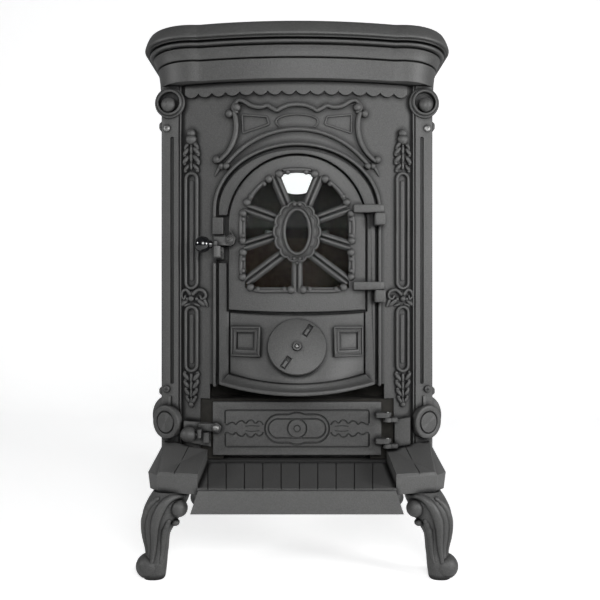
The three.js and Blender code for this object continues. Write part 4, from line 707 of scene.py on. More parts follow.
def bud(x, z, radius, lift=0.5, flat=0.8):
    """A round knob of an ornament, a little flattened against the front."""
    return round_lump((x, bow_y(x, lift), z), (radius, radius * flat, radius), across=16, up=10)


def corners(x0, x1, z0, z1):
    """A rectangle in the front view."""
    return [(x0, z0), (x1, z0), (x1, z1), (x0, z1)]


# Plates on the bow are cut into strips bend_step wide and bent to it.
bend_step = 9
arch_z, fire_half, ash_half, ash_top = 520.0, 99.0, 154.5, 268.0
face_half, face_top, face_foot = 195, body_top - 0.3, base_top + 0.3
ash_upper, ash_step = 139.0, base_top + 97.5
face = [
    (face_half, face_top), (-face_half, face_top), (-face_half, face_foot), (-ash_half, face_foot),
    (-ash_half, ash_step), (-ash_upper, ash_step), (-ash_upper, ash_top), (ash_upper, ash_top),
    (ash_upper, ash_step), (ash_half, ash_step), (ash_half, face_foot), (face_half, face_foot),
]
fire_hole = arch_loop(fire_half, arch_z, 395)
air_hole = [(85, 292), (85, 370.3), (-85, 370.3), (-85, 292)]
# Inside the arch's bead the face lies deeper, so that the strip round the doors stands free.
shoulder_z = 545.0


def shoulder(half, rise):
    """Points over the flattened arch round the fire door, from the left side to the right."""
    turns = [math.radians(180 - 3 * k) for k in range(61)]
    return [(half * math.cos(a), shoulder_z + rise * math.sin(a)) for a in turns]


def inside_bead(half, rise, foot):
    """The outline of the deeper part of the face."""
    return [(-half, ash_top + foot)] + shoulder(half, rise) + [(half, ash_top + foot)]


front = [
    flat_plate([face, inside_bead(128.2, 99.4, 6)], -7, 0, 0.6, cuts=bend_step),
    flat_plate([inside_bead(128.6, 99.8, 5.6), fire_hole, air_hole], -7, -3.8, 0.3, cuts=bend_step),
]
strip_in, strip_low, strip_out, strip_step = 110.8, 107.4, 123.4, 384
pocket_foot, pocket_head = 460.0, 488.0
pad_foot, pad_head = base_top + 358.6, base_top + 385.7
# On the left the strip stops at the pocket of the catch, and the bead at the pad above it.
strip = [(-strip_out, pad_head + 3)] + shoulder(strip_out, 92.8)
strip += [(strip_out, ash_top), (strip_low, ash_top), (strip_low, strip_step), (strip_in, strip_step)]
strip += arc(0, arch_z, strip_in, 0, 171.8, 60)
lower_strip = [
    (-strip_out, pocket_foot), (-strip_out, ash_top), (-strip_low, ash_top),
    (-strip_low, strip_step), (-strip_in, strip_step), (-strip_in, pocket_foot),
]
# A pocket beside each hinge knuckle lets the arm of the door pass.
pockets = [[(121.4, foot), (121.4, foot + 19), (112.8, foot + 19), (112.8, foot)] for foot in (398.6, 518.6)]
pad = rounded(corners(-134, -116.2, pad_foot, pad_head), 1.5)
low_pad = rounded(corners(-133, -113.5, pocket_head, 505), 1.0)
bead_x, bead_size, bead_lift = 130.6, 3.2, 3.4
right_of_doors = [(bead_x, shoulder_z - 20.7 * k) for k in range(1, 8)]
bead_runs = [
    [(-bead_x, pad_head - 2)] + shoulder(bead_x, 102.2) + right_of_doors,
    [(bead_x, 398 - 16.25 * k) for k in range(9)],
    [(-bead_x, 459 - 16 * k) for k in range(13)],
]
front.append(flat_plate([strip, *pockets], -5, 7, 1.3, cuts=bend_step))
front.append(flat_plate([lower_strip], -5, 7, 1.3, cuts=bend_step))
front += [run_bead(on_bow(run, bead_lift), bead_size) for run in bead_runs]
front.append(flat_plate([pad], -5, 7.4, 1.2, cuts=bend_step))
front.append(flat_plate([low_pad], -5, 2.6, 0.8, cuts=bend_step))

# The scalloped apron under the crown.
lobes, lobe_wide, lobe_deep, apron_left, apron_z = 16, 22.3, 6.2, -180.0, body_top - 15
apron_right = apron_left + lobes * lobe_wide
apron = [(apron_right, face_top), (apron_left, face_top)]
for lobe in range(lobes):
    for t in (step / 9 for step in range(9)):
        hang = lobe_deep * math.sin(math.pi * t) ** 0.75
        apron.append((apron_left + (lobe + t) * lobe_wide, apron_z - hang))
apron.append((apron_right, apron_z))
front.append(flat_plate([apron], -1, 4, 0.9, cuts=bend_step))

# The frame over the arch: a wavy crest, two swept sides and an inner arc, with curled ends.
crest = curve_through([
    (-97, 713), (-92.7, 717), (-84, 715.5), (-72, 708.5), (-58, 705.8), (-47.2, 708.2), (-40, 704.5),
    (-31.5, 700.4), (-26, 703.4), (-14, 708.3), (0, 709.7),
], 5)
crest += [(-x, z) for x, z in crest[-2::-1]]
front.append(run_bead(on_bow(crest, 2.0), 3.5))
inner_radius, inner_z = 142.5, 528.2
turns = [math.radians(-50.5 + 101 * k / 44) for k in range(45)]
inner_arc = [(inner_radius * math.sin(a), inner_z + inner_radius * math.cos(a)) for a in turns]
front.append(run_bead(on_bow(inner_arc, 3.0), 3.3))
flank = [(100, 698), (97, 689), (96, 676), (97.8, 662), (103.4, 646), (112, 633), (124, 622.5)]
curl = [(97, 713), (100.5, 708), (100.2, 702), (96, 699.4)]
tip = [(119, 617), (125, 609), (130.5, 599.5)]
frame_buds = [
    (106.6, 697, 6.6), (95.6, 706.6, 7), (127.2, 624.8, 6.4), (111.6, 614.2, 6.2), (119.6, 614.6, 5.2),
]
sunk_panel = [(87, 695), (47.4, 691), (44, 679), (85.6, 666)]


def to_side(side, points):
    """Points drawn for the right half, on the side asked for."""
    return [(side * x, z) for x, z in points]


for side in (-1, 1):
    front.append(run_bead(on_bow(to_side(side, curve_through(flank, 5)), 2.0), 4.2))
    front.append(run_bead(on_bow(to_side(side, curve_through(curl, 4)), 2.0), 3.6))
    for x, z, radius in frame_buds:
        front.append(bud(side * x, z, radius, 1.6, 0.95))
    point = to_side(side, curve_through(tip, 4))
    front.append(run_bead(on_bow(point, 0.8), [3.6 * (1 - k / len(point)) + 0.5 for k in range(len(point))]))
    # The sunk panels inside the frame are edged with a fine line.
    panel_edge = rounded(to_side(side, sunk_panel), 2.5)
    front.append(run_bead(on_bow(panel_edge, 0.5), 1.5, sides=8, closed=True))
lens_top = [(-33, 681), (-31.4, 687), (-20, 692.4), (0, 694.8), (20, 692.4), (31.4, 687), (33, 681)]
lens = rounded(curve_through(lens_top, 4) + [(28, 674.2), (-28, 674.2)], 1.5, 1)
front.append(run_bead(on_bow(lens, 0.5), 1.5, sides=8, closed=True))


# The ornament down each side: a leafy finial, a long double rib, a scroll, a short double rib
# and a second finial upside down.
def leaf(x, z, length, width, angle, lift=0.6, thick=0.62):
    """A long lump on the bowed front, turned by angle degrees from upright."""
    turn = Matrix.Rotation(math.radians(angle), 3, "Y")
    return round_lump((x, bow_y(x, lift), z), (width, width * thick, length), turn, across=14, up=10)


def finial(middle, tiers, up, bud_reach, tip_shift):
    """Pairs of leaves and buds round a row of single leaves; up is 1, or -1 for one upside down."""
    made = []
    for z, spread, size in tiers:
        for way in (-1, 1):
            made.append(leaf(middle + way * spread, z, size * 1.2, size * 0.56, -up * way * 36, 1.3, 0.9))
            made.append(bud(middle + way * (spread + bud_reach), z - up * size * 0.9, 3, 1.4))
        made.append(leaf(middle, z + up * tip_shift, size * 1.1, size * 0.42, 0, 2.0))
    return made


def spread(points, apart=14, closed=False, pieces=None):
    """Points along straight lines, each line in so many pieces, or in pieces at least apart long."""
    made = []
    for k in range(len(points) - (0 if closed else 1)):
        (x0, z0), (x1, z1) = points[k], points[(k + 1) % len(points)]
        count = pieces or max(1, int(math.hypot(x1 - x0, z1 - z0) / apart))
        made += [(x0 + (x1 - x0) * s / count, z0 + (z1 - z0) * s / count) for s in range(count)]
    return made if closed else made + [points[-1]]


ornament_x, rib_half = 169.2, 9.3
upper_tiers = [(650, 7.2, 6.2), (640, 8.6, 7), (627, 8.8, 7.4), (614, 7.6, 6.2)]
lower_tiers = [(279, 8.4, 7.2), (266.5, 7.8, 6.8), (254, 6.6, 6.2), (242, 5, 5.2)]
scroll_line = [(2, 411), (8, 418), (15, 415.5), (17, 407.5), (12.5, 403.5), (10.5, 408.5)]
# Each leaf under the scroll: its place, length, width, turn and lift.
scroll_leaves = [(12, 397.5, 8.5, 3.8, 52, 1.3), (16.5, 398.5, 9, 2.8, 26, 1.2), (7, 394, 6, 2.6, 70, 1.2)]
for side in (-1, 1):
    middle = side * ornament_x
    for low, high in ((420.5, 605), (288, 391)):
        loop = arc(middle, high - rib_half, rib_half, 0, 180, 14)
        loop += arc(middle, low + rib_half, rib_half, 180, 360, 14)
        front.append(run_bead(on_bow(spread(loop, 12, closed=True), 1.7), 2.7, sides=10, closed=True))
        field = rounded(corners(middle + 3.6, middle - 3.6, high - 12, low + 12), 3.5, 4)
        front.append(flat_plate([field], -1, 1.3, 0.9))
    front.append(bud(middle, 668.5, 7.2, 2.2, 1.0))
    front.append(bud(middle, 659, 9, 1.6, 0.8))
    front += finial(middle, upper_tiers, 1, 2.4, 3)
    for way in (-1, 1):
        # The half towards the door is the wider one: the pilaster leaves no room for the other.
        wide = way * (1.4 if way != side else 0.95)
        scroll = curve_through([(middle + wide * out, z) for out, z in scroll_line], 5)
        sizes = [3.2 - 1.2 * k / len(scroll) for k in range(len(scroll))]
        front.append(run_bead(on_bow(scroll, 1.8), sizes, sides=10))
        for out, z, length, width, angle, lift in scroll_leaves:
            front.append(leaf(middle + wide * out, z, length, width, -way * angle, lift))
        front.append(bud(middle + wide * 6.5, 403.5, 3.4, 1.4))
    front.append(bud(middle, 404, 5.2, 1.2))
    front.append(leaf(middle, 411, 5.4, 3.0, 0, 1.4))
    front += finial(middle, lower_tiers, -1, 2, 2)
    front.append(bud(middle, 234.5, 4.6, 0.8))

# The two hinge knuckles stand out from the right of the arch.
hinge_x, hinge_y, knuckle_half, knuckle_high = 129.5, front_y - 9, 8.5, 19
knuckle_plan = rounded([
    (hinge_x - knuckle_half, hinge_y - 7.5), (hinge_x + knuckle_half, hinge_y - 7.5),
    (hinge_x + knuckle_half, bow_y(hinge_x) + 5), (hinge_x - knuckle_half, bow_y(hinge_x) + 5),
], 3.2, 5)


def drawn_in(plan, centre, inset, reach):
    """A plan from above drawn towards its centre by inset, for a shape that reaches so far from it."""
    return [(x + (centre[0] - x) * inset / reach[0], y + (centre[1] - y) * inset / reach[1]) for x, y in plan]


for foot in (398.6, 519.0):
    rings = []
    for rise, inset in ((0, 1.0), (0.4, 0.3), (1.2, 0), (17.8, 0), (18.6, 0.3), (knuckle_high, 1.0)):
        ring = drawn_in(knuckle_plan, (hinge_x, hinge_y), inset, (knuckle_half, 10))
        rings.append([(x, y, foot + rise) for x, y in ring])
    front.append(skin_over(rings))
cast_piece("bowed_front", front, grey_paint, "front_panel", sharp=42)


# The cornice under the crown: a hollow frame with a plain frieze, a bead, a hollow moulding and
# a second bead, cast in one and resting on the tops of the walls.
def crown_plan():
    """Points round the foot of the cornice, each with its outward direction."""
    per_arc = 5
    side, radius, dip, ear, ear_turn = 221.0, 730.0, 50.0, 58.0, math.radians(4)
    back, back_radius = 154.0, 26
    middle = front_y - 12 + radius
    reach = side - dip * math.sin(ear_turn) - ear * (1 + math.sin(ear_turn))
    end = math.asin(reach / (radius + dip))
    made = []

    def run(x, y, r, start, stop, steps, sign=1):
        """Adds points along an arc; sign is -1 where the arc is hollow."""
        for k in range(1, steps + 1):
            a = start + (stop - start) * k / steps
            out = (math.sin(a), -math.cos(a))
            made.append((x + sign * r * out[0], y + sign * r * out[1], *out))

    run(0, middle, radius, 0, end, 4 * per_arc)
    x, y, nx, ny = made[-1]
    run(x + nx * dip, y + ny * dip, dip, end, -ear_turn, 2 * per_arc, -1)
    x, y, nx, ny = made[-1]
    run(x - nx * ear, y - ny * ear, ear, -ear_turn, math.pi / 2, 5 * per_arc)
    made.append((side, back, 1, 0))
    run(side - back_radius, back, back_radius, math.pi / 2, math.pi, 2 * per_arc)
    return [(0, middle - radius, 0, -1), *made, *[(-x, y, -nx, ny) for x, y, nx, ny in reversed(made)]]


def moulding(profile, foot):
    """Rings round the crown from (outwards, height above foot) pairs."""
    return [[(x + out * nx, y + out * ny, foot + up) for x, y, nx, ny in crown_plan()] for out, up in profile]


cornice_profile = [
    (2, 0), (4.6, 0.8), (5, 2), (5.6, 12), (7, 22), (8.6, 28.2), (8.8, 29.6), (8.2, 30.2), (5.2, 30.4),
    (5.2, 32), (9.6, 32.2), (10.4, 32.8), (10.8, 34), (11.8, 38), (13.4, 42.4), (15.2, 46), (16, 47.6),
    (15.6, 48.4), (12.6, 48.6), (12.6, 50), (17.6, 50.2), (20.6, 51.2), (21.8, 53), (21.8, 54.6),
    (20.6, 56.4), (18.4, 57.4), (14.6, 57.5), (-1, 57.5), (-6, 6), (-24, 6), (-24, 0),
]
cornice = skin_over(moulding(cornice_profile, body_top), closed=True)
cast_piece("crown_cornice", [cornice], grey_paint, "cornice", sharp=35)


# The crown: a flat top plate with a fat rolled edge, laid on the cornice.
crown_foot, crown_high = body_top + 57.8, 25.7
roll = [
    (0, crown_high - 9), (3, 0), (24, 0), (25, 2), (28.4, 2.2), (29.7, 3), (30, 4.6), (29.7, 6.6),
    (28.8, 9.6), (27, 14.6), (24.8, 19.4), (22.4, 23.4), (20.8, 24.9), (18.6, 25.5), (15, crown_high),
    (6, crown_high),
]
crown = skin_over(moulding(roll, crown_foot))
cast_piece("rolled_crown", [crown], grey_paint, "top_plate", sharp=35)


# The air panel: a plate that bulges out between the doors, with a moulding at its foot, two
# frames and a round seat for the spinner. Cast in one and fixed to the front from behind.
air_half, air_top, air_foot, air_bulge = 105.0, base_top + 235.3, base_top + 138, 40.0
air_tilt = math.atan2(air_bulge, air_top - air_foot)


def air_curve(x):
    """The share of the bulge at x: all in the middle, none at the sides."""
    return 1 - (x / air_half) ** 2


def air_y(x, z):
    """The air panel's surface."""
    return bow_y(x, 6) - air_bulge * air_curve(x) * (air_top - z) / (air_top - air_foot)


def on_air_panel(x, z, out):
    """For flat_plate: lays the plate on the air panel."""
    return (x, air_y(x, z) - out, z)


disc_z = base_top + 181
disc_at = Vector((0, air_y(0, disc_z), disc_z))
disc_out = Vector((0, -math.cos(air_tilt), math.sin(air_tilt)))
disc_turn = disc_out.to_track_quat("Z", "Y").to_matrix()
# Down the moulding at the foot: how far out and down, and its share of foot_widening sideways.
foot_widening = 15
foot_moulding = [
    (0.9, -0.4, 0.02), (3.6, 0.3, 0.2), (4.6, 1.6, 0.3), (5.2, 4.2, 0.45), (6.6, 6.8, 0.62),
    (9.2, 8.9, 0.8), (11.4, 9.6, 0.9), (12.2, 9.9, 0.93), (13.6, 9.9, 0.97), (14.7, 11.1, 1),
    (15, 12.8, 1), (14.6, 14.6, 0.97), (13.4, 15.7, 0.92), (12.4, 16, 0.88),
]
rings = []
for k in range(41):
    x = air_half * (-1 + k / 20)
    low, high = air_foot - 10 * air_curve(x), air_top - 4 * air_curve(x)
    rest, foot_y = bow_y(x, 0.3), air_y(x, low)
    ring = [(x, air_y(x, high) + 0.8, high), (x, air_y(x, high - 0.8), high - 0.8)]
    ring += [(x, air_y(x, z), z) for z in (high - (high - low) * t / 8 for t in range(1, 8))]
    ring += [(x, air_y(x, low + 1.6), low + 1.6), (x, foot_y + 1.4, low + 0.8), (x, foot_y + 1.4, low)]
    for out, down, share in foot_moulding:
        ring.append((x * (1 + share * foot_widening / air_half), foot_y - out, low - down))
    ring += [(x, rest, low - 16), (x, rest, low - 10)]
    ring += [(x, min(air_y(x, z) + 6, rest), z) for z in (low - 4, high - 68, high - 6)]
    ring += [(x, rest, high - 6), (x, rest, high)]
    rings.append(ring)
panel = skin_over(rings)
vent_radius, vent_reach = 11, 25
vents = []
for a in ((k + 0.5) * math.pi / 2 for k in range(4)):
    at = disc_at + disc_turn @ Vector((vent_reach * math.cos(a), vent_reach * math.sin(a), 0))
    vents.append(turned_disc([(vent_radius, -40), (vent_radius, 30)], at, disc_out, 24))
seat = turned_disc([(0, -5), (44, -5), (44, 0.4), (43.4, 0.8), (0, 0.8)], disc_at, disc_out, 72)
around_disc = turned_disc([(0, -3.4), (47.4, -3.4), (47.4, 30), (0, 30)], disc_at, disc_out, 72)
parts = [carve(panel, around_disc, *vents), carve(seat, *vents)]
frame_near, frame_far, frame_foot, frame_head = 57, 104.6, base_top + 167, air_top - 22
for side in (-1, 1):
    outer = corners(side * frame_near, side * frame_far, frame_foot, frame_head)
    inner = corners(side * 66, side * 95, frame_foot + 11, frame_head - 9)
    field = corners(side * 68.4, side * 92.6, frame_foot + 13.4, frame_head - 11.4)
    parts.append(flat_plate([outer, inner], -2, 3, 1.8, cuts=6, onto=on_air_panel))
    for inset, lift, size in ((1.6, 2.8, 1.8), (6, 2.4, 1.3)):
        near, far = side * (frame_near + inset), side * (frame_far - 0.6 - inset)
        ridge = spread(corners(near, far, frame_foot + inset, frame_head - inset), closed=True, pieces=8)
        parts.append(run_bead([on_air_panel(x, z, lift) for x, z in ridge], size, sides=10, closed=True))
    parts.append(flat_plate([field], -2, 0.9, 0.6, cuts=6, onto=on_air_panel))
cast_piece("bulged_air_panel", parts, grey_paint, "air_panel", sharp=32)

# The spinner: a cast disc with two finger slots, turned on a threaded stud to let air in.
disc_rim = [
    (7.4, 3.2), (43.4, 3.0), (44.5, 4), (44.5, 7.8), (44.1, 8.6), (43.2, 9), (7.6, 9), (7.4, 8.7), (7.4, 3.2),
]
hub_rim = [
    (3.4, 2.2), (6.6, 2.2), (7, 2.6), (7, 10.4), (6.7, 11), (6, 11.3), (4.2, 11.3), (3.4, 10.8), (3.4, 2.2),
]
slot_turn = disc_turn @ Matrix.Rotation(math.radians(-33), 3, "Z")
slots, grips = [], []
for way in (-1, 1):
    at = disc_at + slot_turn @ Vector((0, way * 30.5, 0))
    slots.append(brick_shape((-4.75, 4.75), (-10.5, 10.5), (5, 12), slot_turn, at))
    grip = brick_shape((-2, 2), (-7.5, 7.5), (4.6, 8.3), slot_turn, at)
    grips.append(carve(grip, brick_shape((-3, 3), (2.5, 9), (6.2, 9), slot_turn, at)))
disc = carve(turned_disc(disc_rim, disc_at, disc_out, 72), *slots)
cast_piece("air_spinner", [disc, *grips], grey_paint, "air_disc", body="air_disc", sharp=30)
hub = turned_disc(hub_rim, disc_at, disc_out, 36)
cast_piece("spinner_hub", [hub], grey_paint, "air_hub", body="air_hub", sharp=30)
thread_foot, half_pitch = -12.6, 0.55
thread = [(2.55 + 0.4 * (k % 2), thread_foot + half_pitch * k) for k in range(43)]
stem = [(0, -13), (2.8, -13), *thread, (2.4, 11.3), (1.8, 11.9), (0, 12)]
nut_rim = [(2.5, -12), (5.4, -12), (6, -11.5), (6, -7.8), (5.4, -7.3), (2.5, -7.3)]
stud, nut = turned_disc(stem, disc_at, disc_out, 24), turned_disc(nut_rim, disc_at, disc_out, 6)
cast_piece("spinner_stud", [stud, nut], zinc, "air_spindle", slot="zinc", sharp=30)


# The fire door: an arched casting whose window has double-ribbed spokes round a scalloped oval
# medallion, and a rim of beads between balls. Two arms hang it on the pins at its right.
door_half, door_foot, hub_z = 107.0, base_top + 240, arch_z - 12
door_back, door_face = 5.0, 12.0
window = arch_loop(81, arch_z, 421.5, steps=60)
outline = arch_loop(door_half, arch_z, door_foot, 4, 72)
door = [flat_plate([outline, window], door_back, door_face, 1.2, cuts=bend_step)]
# Each stretch of the rim: the balls and small balls at its ends, and the points of its bead.
# The first lies across the top; the others are on both sides.
rim = [
    ([(-27.5, 598.6, 6.6), (-14.5, 601.6, 4.4), (14.5, 601.6, 4.4), (27.5, 598.6, 6.6)],
     [(-20, 604.2), (-8, 605.4), (8, 605.4), (20, 604.2)]),
    ([(-43.8, 590.6, 6.4), (-51.8, 583.8, 4.4), (-72, 563.8, 4.4), (-78, 554.6, 6.4)],
     [(-52, 585.8), (-61, 577.6), (-68.5, 569.2), (-73.8, 560)]),
    ([(-84.4, 537.4, 6.2), (-84.8, 528.4, 4.3), (-84.8, 502.4, 4.3), (-85.4, 494.6, 6.2)],
     [(-87.2, 532), (-88.3, 522), (-88.4, 510), (-87.2, 499)]),
    ([(-84.6, 476.4, 6.2), (-84.8, 466, 4.3), (-84.8, 447.4, 4.3), (-84.6, 438, 6.2)],
     [(-87, 471), (-87.8, 461), (-87.8, 452), (-87, 443)]),
    ([(-72.4, 421.6, 6.2), (-61, 418.6, 4.3), (-19.6, 418.4, 4.3), (-9.4, 417.6, 6.2)],
     [(-66, 417.2), (-54, 415.8), (-28, 415.8), (-15, 416)]),
]
for number, (balls, bead) in enumerate(rim):
    for side in ((-1, 1) if number else (1,)):
        door += [bud(side * x, z, radius, door_face - 0.2, 0.85) for x, z, radius in balls]
        door.append(run_bead(on_bow(to_side(side, curve_through(bead)), door_face - 0.4), 3.1))


def rib(start, end, radius, lifts):
    """A straight round rib between two points of the front view, lifted by so much at each."""
    points, pieces = [], 12
    for k in range(pieces + 1):
        t = k / pieces
        x, z = start[0] + (end[0] - start[0]) * t, start[1] + (end[1] - start[1]) * t
        points.append((x, bow_y(x, 0) - (lifts[0] + (lifts[1] - lifts[0]) * t), z))
    return run_bead(points, radius, round_ends=False)


# From the rim to the medallion; the last spoke stands in the middle, the others on both sides.
spokes = [
    ((-35, 596), (-14.5, 547)), ((-82, 547), (-31, 528.4)), ((-84, 486.5), (-33, 502.2)),
    ((-80, 430.5), (-22, 474.2)), ((0, 414), (0, 462)),
]
for spoke in spokes:
    for side in ((-1, 1) if spoke[0][0] else (1,)):
        start, end = [Vector((side * x, z)) for x, z in spoke]
        across = (end - start).orthogonal().normalized()
        for way in (-1, 1):
            # A thick rib, and a thin one at its outer foot.
            for reach, radius, lifts in ((3.9, 3.3, (10.8, 11.6)), (7.3, 1.6, (8.2, 9))):
                shift = across * reach * way
                door.append(rib(start + shift, end + shift * 0.9, radius, lifts))
        web = [start + across * 7.3, end + across * 6.4, end - across * 6.4, start - across * 7.3]
        door.append(flat_plate([[tuple(p) for p in web]], 6.2, 9.8, 0.5, cuts=bend_step))


def scalloped(swell):
    """The medallion's edge: fourteen lobes round an oval, grown by swell millimetres."""
    made, count = [], 112
    for k in range(count):
        a = 2 * math.pi * k / count
        lobe = 3.4 * abs(math.cos(7 * a)) ** 0.6
        made.append(((33 + lobe + swell) * math.cos(a), hub_z + (43.4 + lobe + swell) * math.sin(a)))
    return made


def egg(half_width, half_height):
    """An oval about the medallion's middle."""
    turns = [2 * math.pi * k / 64 for k in range(64)]
    return [(half_width * math.cos(a), hub_z + half_height * math.sin(a)) for a in turns]


def upright_at(y):
    """Bends nothing: lays a flat_plate on the upright plane at y, with its front forwards."""
    return lambda x, z, out: (x, y - out, z)


medal_face = 15.4
medal_beads = [
    (scalloped(-0.4), medal_face, 1.9, 10), (scalloped(-5.4), medal_face - 0.2, 0.9, 8),
    (egg(19.8, 34.6), medal_face + 0.8, 2.3, 14), (egg(24.2, 38.8), medal_face, 0.9, 8),
]
medal_balls = [
    (-4, 550.4, 3.8), (4, 550.4, 3.8), (-4.4, 466.4, 3.2), (4.4, 466.4, 3.2), (-9.6, 466.8, 2),
    (9.6, 466.8, 2), (0, 459.4, 2.6),
]
door.append(flat_plate([scalloped(0), egg(17.6, 33.3)], 6, medal_face, 1.2, onto=upright_at(front_y)))
for line, out, radius, sides in medal_beads:
    door.append(run_bead([(x, front_y - out, z) for x, z in line], radius, sides=sides, closed=True))
for x, z, r in medal_balls:
    door.append(round_lump((x, front_y - medal_face, z), (r, r * 0.9, r), across=16, up=10))
arm_plan = rounded([
    (88, hinge_y - 4.5), (hinge_x, hinge_y - 7), (hinge_x + 7, hinge_y - 4), (hinge_x + 7, hinge_y + 4),
    (hinge_x, hinge_y + 7), (104, hinge_y + 4.5), (104, bow_y(104, 6)), (88, bow_y(88, 6)),
], 2, 4)
pin_radius = 3.65
for foot in (417.9, 538.3):
    rings = []
    for rise, inset in ((0, 0.9), (0.5, 0.2), (1.2, 0), (11.2, 0), (11.9, 0.2), (12.4, 0.9)):
        rings.append([(x, y, foot + rise) for x, y in drawn_in(arm_plan, (112, hinge_y), inset, (24, 7))])
    pin_hole = turned_disc([(pin_radius, -2), (pin_radius, 15)], (hinge_x, hinge_y, foot), (0, 0, 1), 24)
    door.append(carve(skin_over(rings), pin_hole))
cast_piece("arched_fire_door", door, grey_paint, "fire_door", body="fire_door", sharp=40)

# Its glass lies against the back, held by two steel clips; a rope seals the gap to the front.
stove_glass, nodes, links, shader = new_material("stove_glass")
shader.inputs["Base Color"].default_value = (0.9, 0.93, 0.92, 1)
shader.inputs["Transmission Weight"].default_value = 1
shader.inputs["IOR"].default_value = 1.05
roughen(nodes, links, shader, noise_over(nodes, links, 14), 0.0, 0.04)
finish_node("door_glass", stove_glass, "glass", edge=0)


def plain_finish(name, dark, light, scale, rough, bumps=0.0, also=None):
    """A noise between two tones, bumps millimetres deep; also sets other inputs of the shader."""
    material, nodes, links, shader = new_material(name)
    noise = noise_over(nodes, links, scale, 5)
    two_tone(nodes, links, shader, noise, dark, light)
    shader.inputs["Roughness"].default_value = rough
    for label, value in (also or {}).items():
        shader.inputs[label].default_value = value
    if bumps:
        rise = nodes.new("ShaderNodeBump")
        rise.inputs["Strength"].default_value = 0.6
        rise.inputs["Distance"].default_value = bumps / 1000
        links.new(noise, rise.inputs["Height"])
        links.new(rise.outputs["Normal"], shader.inputs["Normal"])
    return material


black_rope = plain_finish("black_sealing_rope", (0.006, 0.006, 0.006), (0.02, 0.02, 0.02), 900, 1.0, 0.6)
finish_node("door_seal", black_rope, "rope", edge=0)
spring_steel = plain_finish(
    "spring_steel", (0.1, 0.1, 0.1), (0.2, 0.2, 0.195), 200, 0.4, also={"Metallic": 1},
)
for side in ("left", "right"):
    finish_node(f"glass_clip_{side}", spring_steel, "steel", edge=0.3)
for level in ("lower", "upper"):
    finish_node(f"door_hinge_pin_{level}", zinc, "zinc", edge=0)


# The latches: flat levers with a five-sided boss on a pivot screw. The fire door's has a glossy
# black ball, the ash door's an egg painted like the stove; each drops behind a cast hook.
lever_deep = 6


def lever(pivot, back, reach, low, high, neck, fin_reach=0):
    """A lever lever_deep thick in front of back: its boss, an arm to the left and a round neck.

    The arm reaches so far left between low and high. The neck is given by its length, its y
    and its z. A lever with fin_reach has a fin on the other side of the boss.
    """
    px, pz = pivot
    end, fore, lie = px - reach, back - lever_deep, upright_at(back)
    length, neck_y, neck_z = neck
    turns = [math.pi / 2 + 2 * math.pi * k / 5 for k in range(5)]
    boss = rounded([(px + 9 * math.cos(a), pz + 9 * math.sin(a)) for a in turns], 2.5, 3)
    arm = [(end, low + 2), (end + 2, low), (px + 2, low), (px + 4, pz), (px, high), (end, high)]
    hole = turned_disc([(3.3, -12), (3.3, 12)], (px, fore, pz), (0, -1, 0), 24)
    parts = [
        carve(flat_plate([boss], 0.2, lever_deep, 1.4, onto=lie), hole),
        flat_plate([rounded(arm, 1.6, 3)], 0.4, lever_deep - 1.4, 1.1, onto=lie),
    ]
    if fin_reach:
        fin = [(px - 1.5, pz + 17), (px + 3, pz + 2), (px + fin_reach, pz + 2.5), (px + 4.5, pz + 8)]
        parts.append(flat_plate([rounded(fin, 1, 2)], 0.4, lever_deep - 2.2, 1.0, onto=lie))
    crank = rounded(corners(end, end + 6, neck_z - 5, max(neck_z + 5, low + 5)), 1.4, 3)
    parts.append(flat_plate([crank], 0.2, back - min(fore, neck_y - 5), 0.9, onto=lie))
    neck_rim = [(0, 0), (4, 0), (4, length - 0.4), (3.6, length), (0, length)]
    parts.append(turned_disc(neck_rim, (end + 1, neck_y, neck_z), (-1, 0, 0), 28))
    turns = [2 * math.pi * k / 32 for k in range(32)]
    ring = [(px + 5.6 * math.cos(a), fore - 0.2, pz + 5.6 * math.sin(a)) for a in turns]
    parts.append(run_bead(ring, 0.8, sides=8, closed=True))
    return parts


def pivot_screw(pivot, back):
    """A round-head screw with a straight slot, through a lever in front of back."""
    at = (pivot[0], back - lever_deep, pivot[1])
    shank = -lever_deep - 5.8
    rim = [
        (0, shank), (2.95, shank), (2.95, 0.4), (5, 0.4), (5.2, 0.7), (5.1, 1.5), (4.4, 2.6), (3.2, 3.3),
        (1.6, 3.8), (0, 3.9),
    ]
    turn = Vector((0, -1, 0)).to_track_quat("Z", "Y").to_matrix() @ Matrix.Rotation(0.5, 3, "Z")
    slot = brick_shape((-5.5, 5.5), (-0.6, 0.6), (2.7, 6), turn, at)
    return [carve(turned_disc(rim, at, (0, -1, 0), 32), slot)]


fire_x, fire_z = fire_pivot = (-104.0, base_top + 348.7)
fire_back = bow_y(96, 12) - 1.4
knob_y, knob_z = fire_back - 3, fire_z - 7
fire_lever = lever(fire_pivot, fire_back, 26, fire_z - 8.9, fire_z + 5, (13, knob_y, knob_z), fin_reach=8)
cast_piece("fire_door_lever", fire_lever, grey_paint, "fire_latch_lever", body="fire_latch", sharp=38)
fire_screw = pivot_screw(fire_pivot, fire_back)
cast_piece("fire_door_pivot_screw", fire_screw, grey_paint, "fire_latch_pivot",
           body="fire_door", slot="zinc", sharp=35)
black_gloss = plain_finish(
    "black_ball_enamel", (0.004, 0.004, 0.0045), (0.007, 0.007, 0.008), 60, 0.09,
    also={"Coat Weight": 1, "Coat Roughness": 0.03},
)
ball = round_lump((fire_x - 43.4, knob_y, knob_z), (13, 13, 13), across=48, up=28)
collar_rim = [(4.3, -1), (6.5, -1), (6.5, 2), (5.8, 4.2), (4.3, 4.4)]
collar = turned_disc(collar_rim, (fire_x - 32.6, knob_y, knob_z), (1, 0, 0), 32)
cast_piece("black_ball_knob", [ball, collar], black_gloss, "fire_latch_knob",
           body="fire_latch", slot="black_knob", sharp=60)
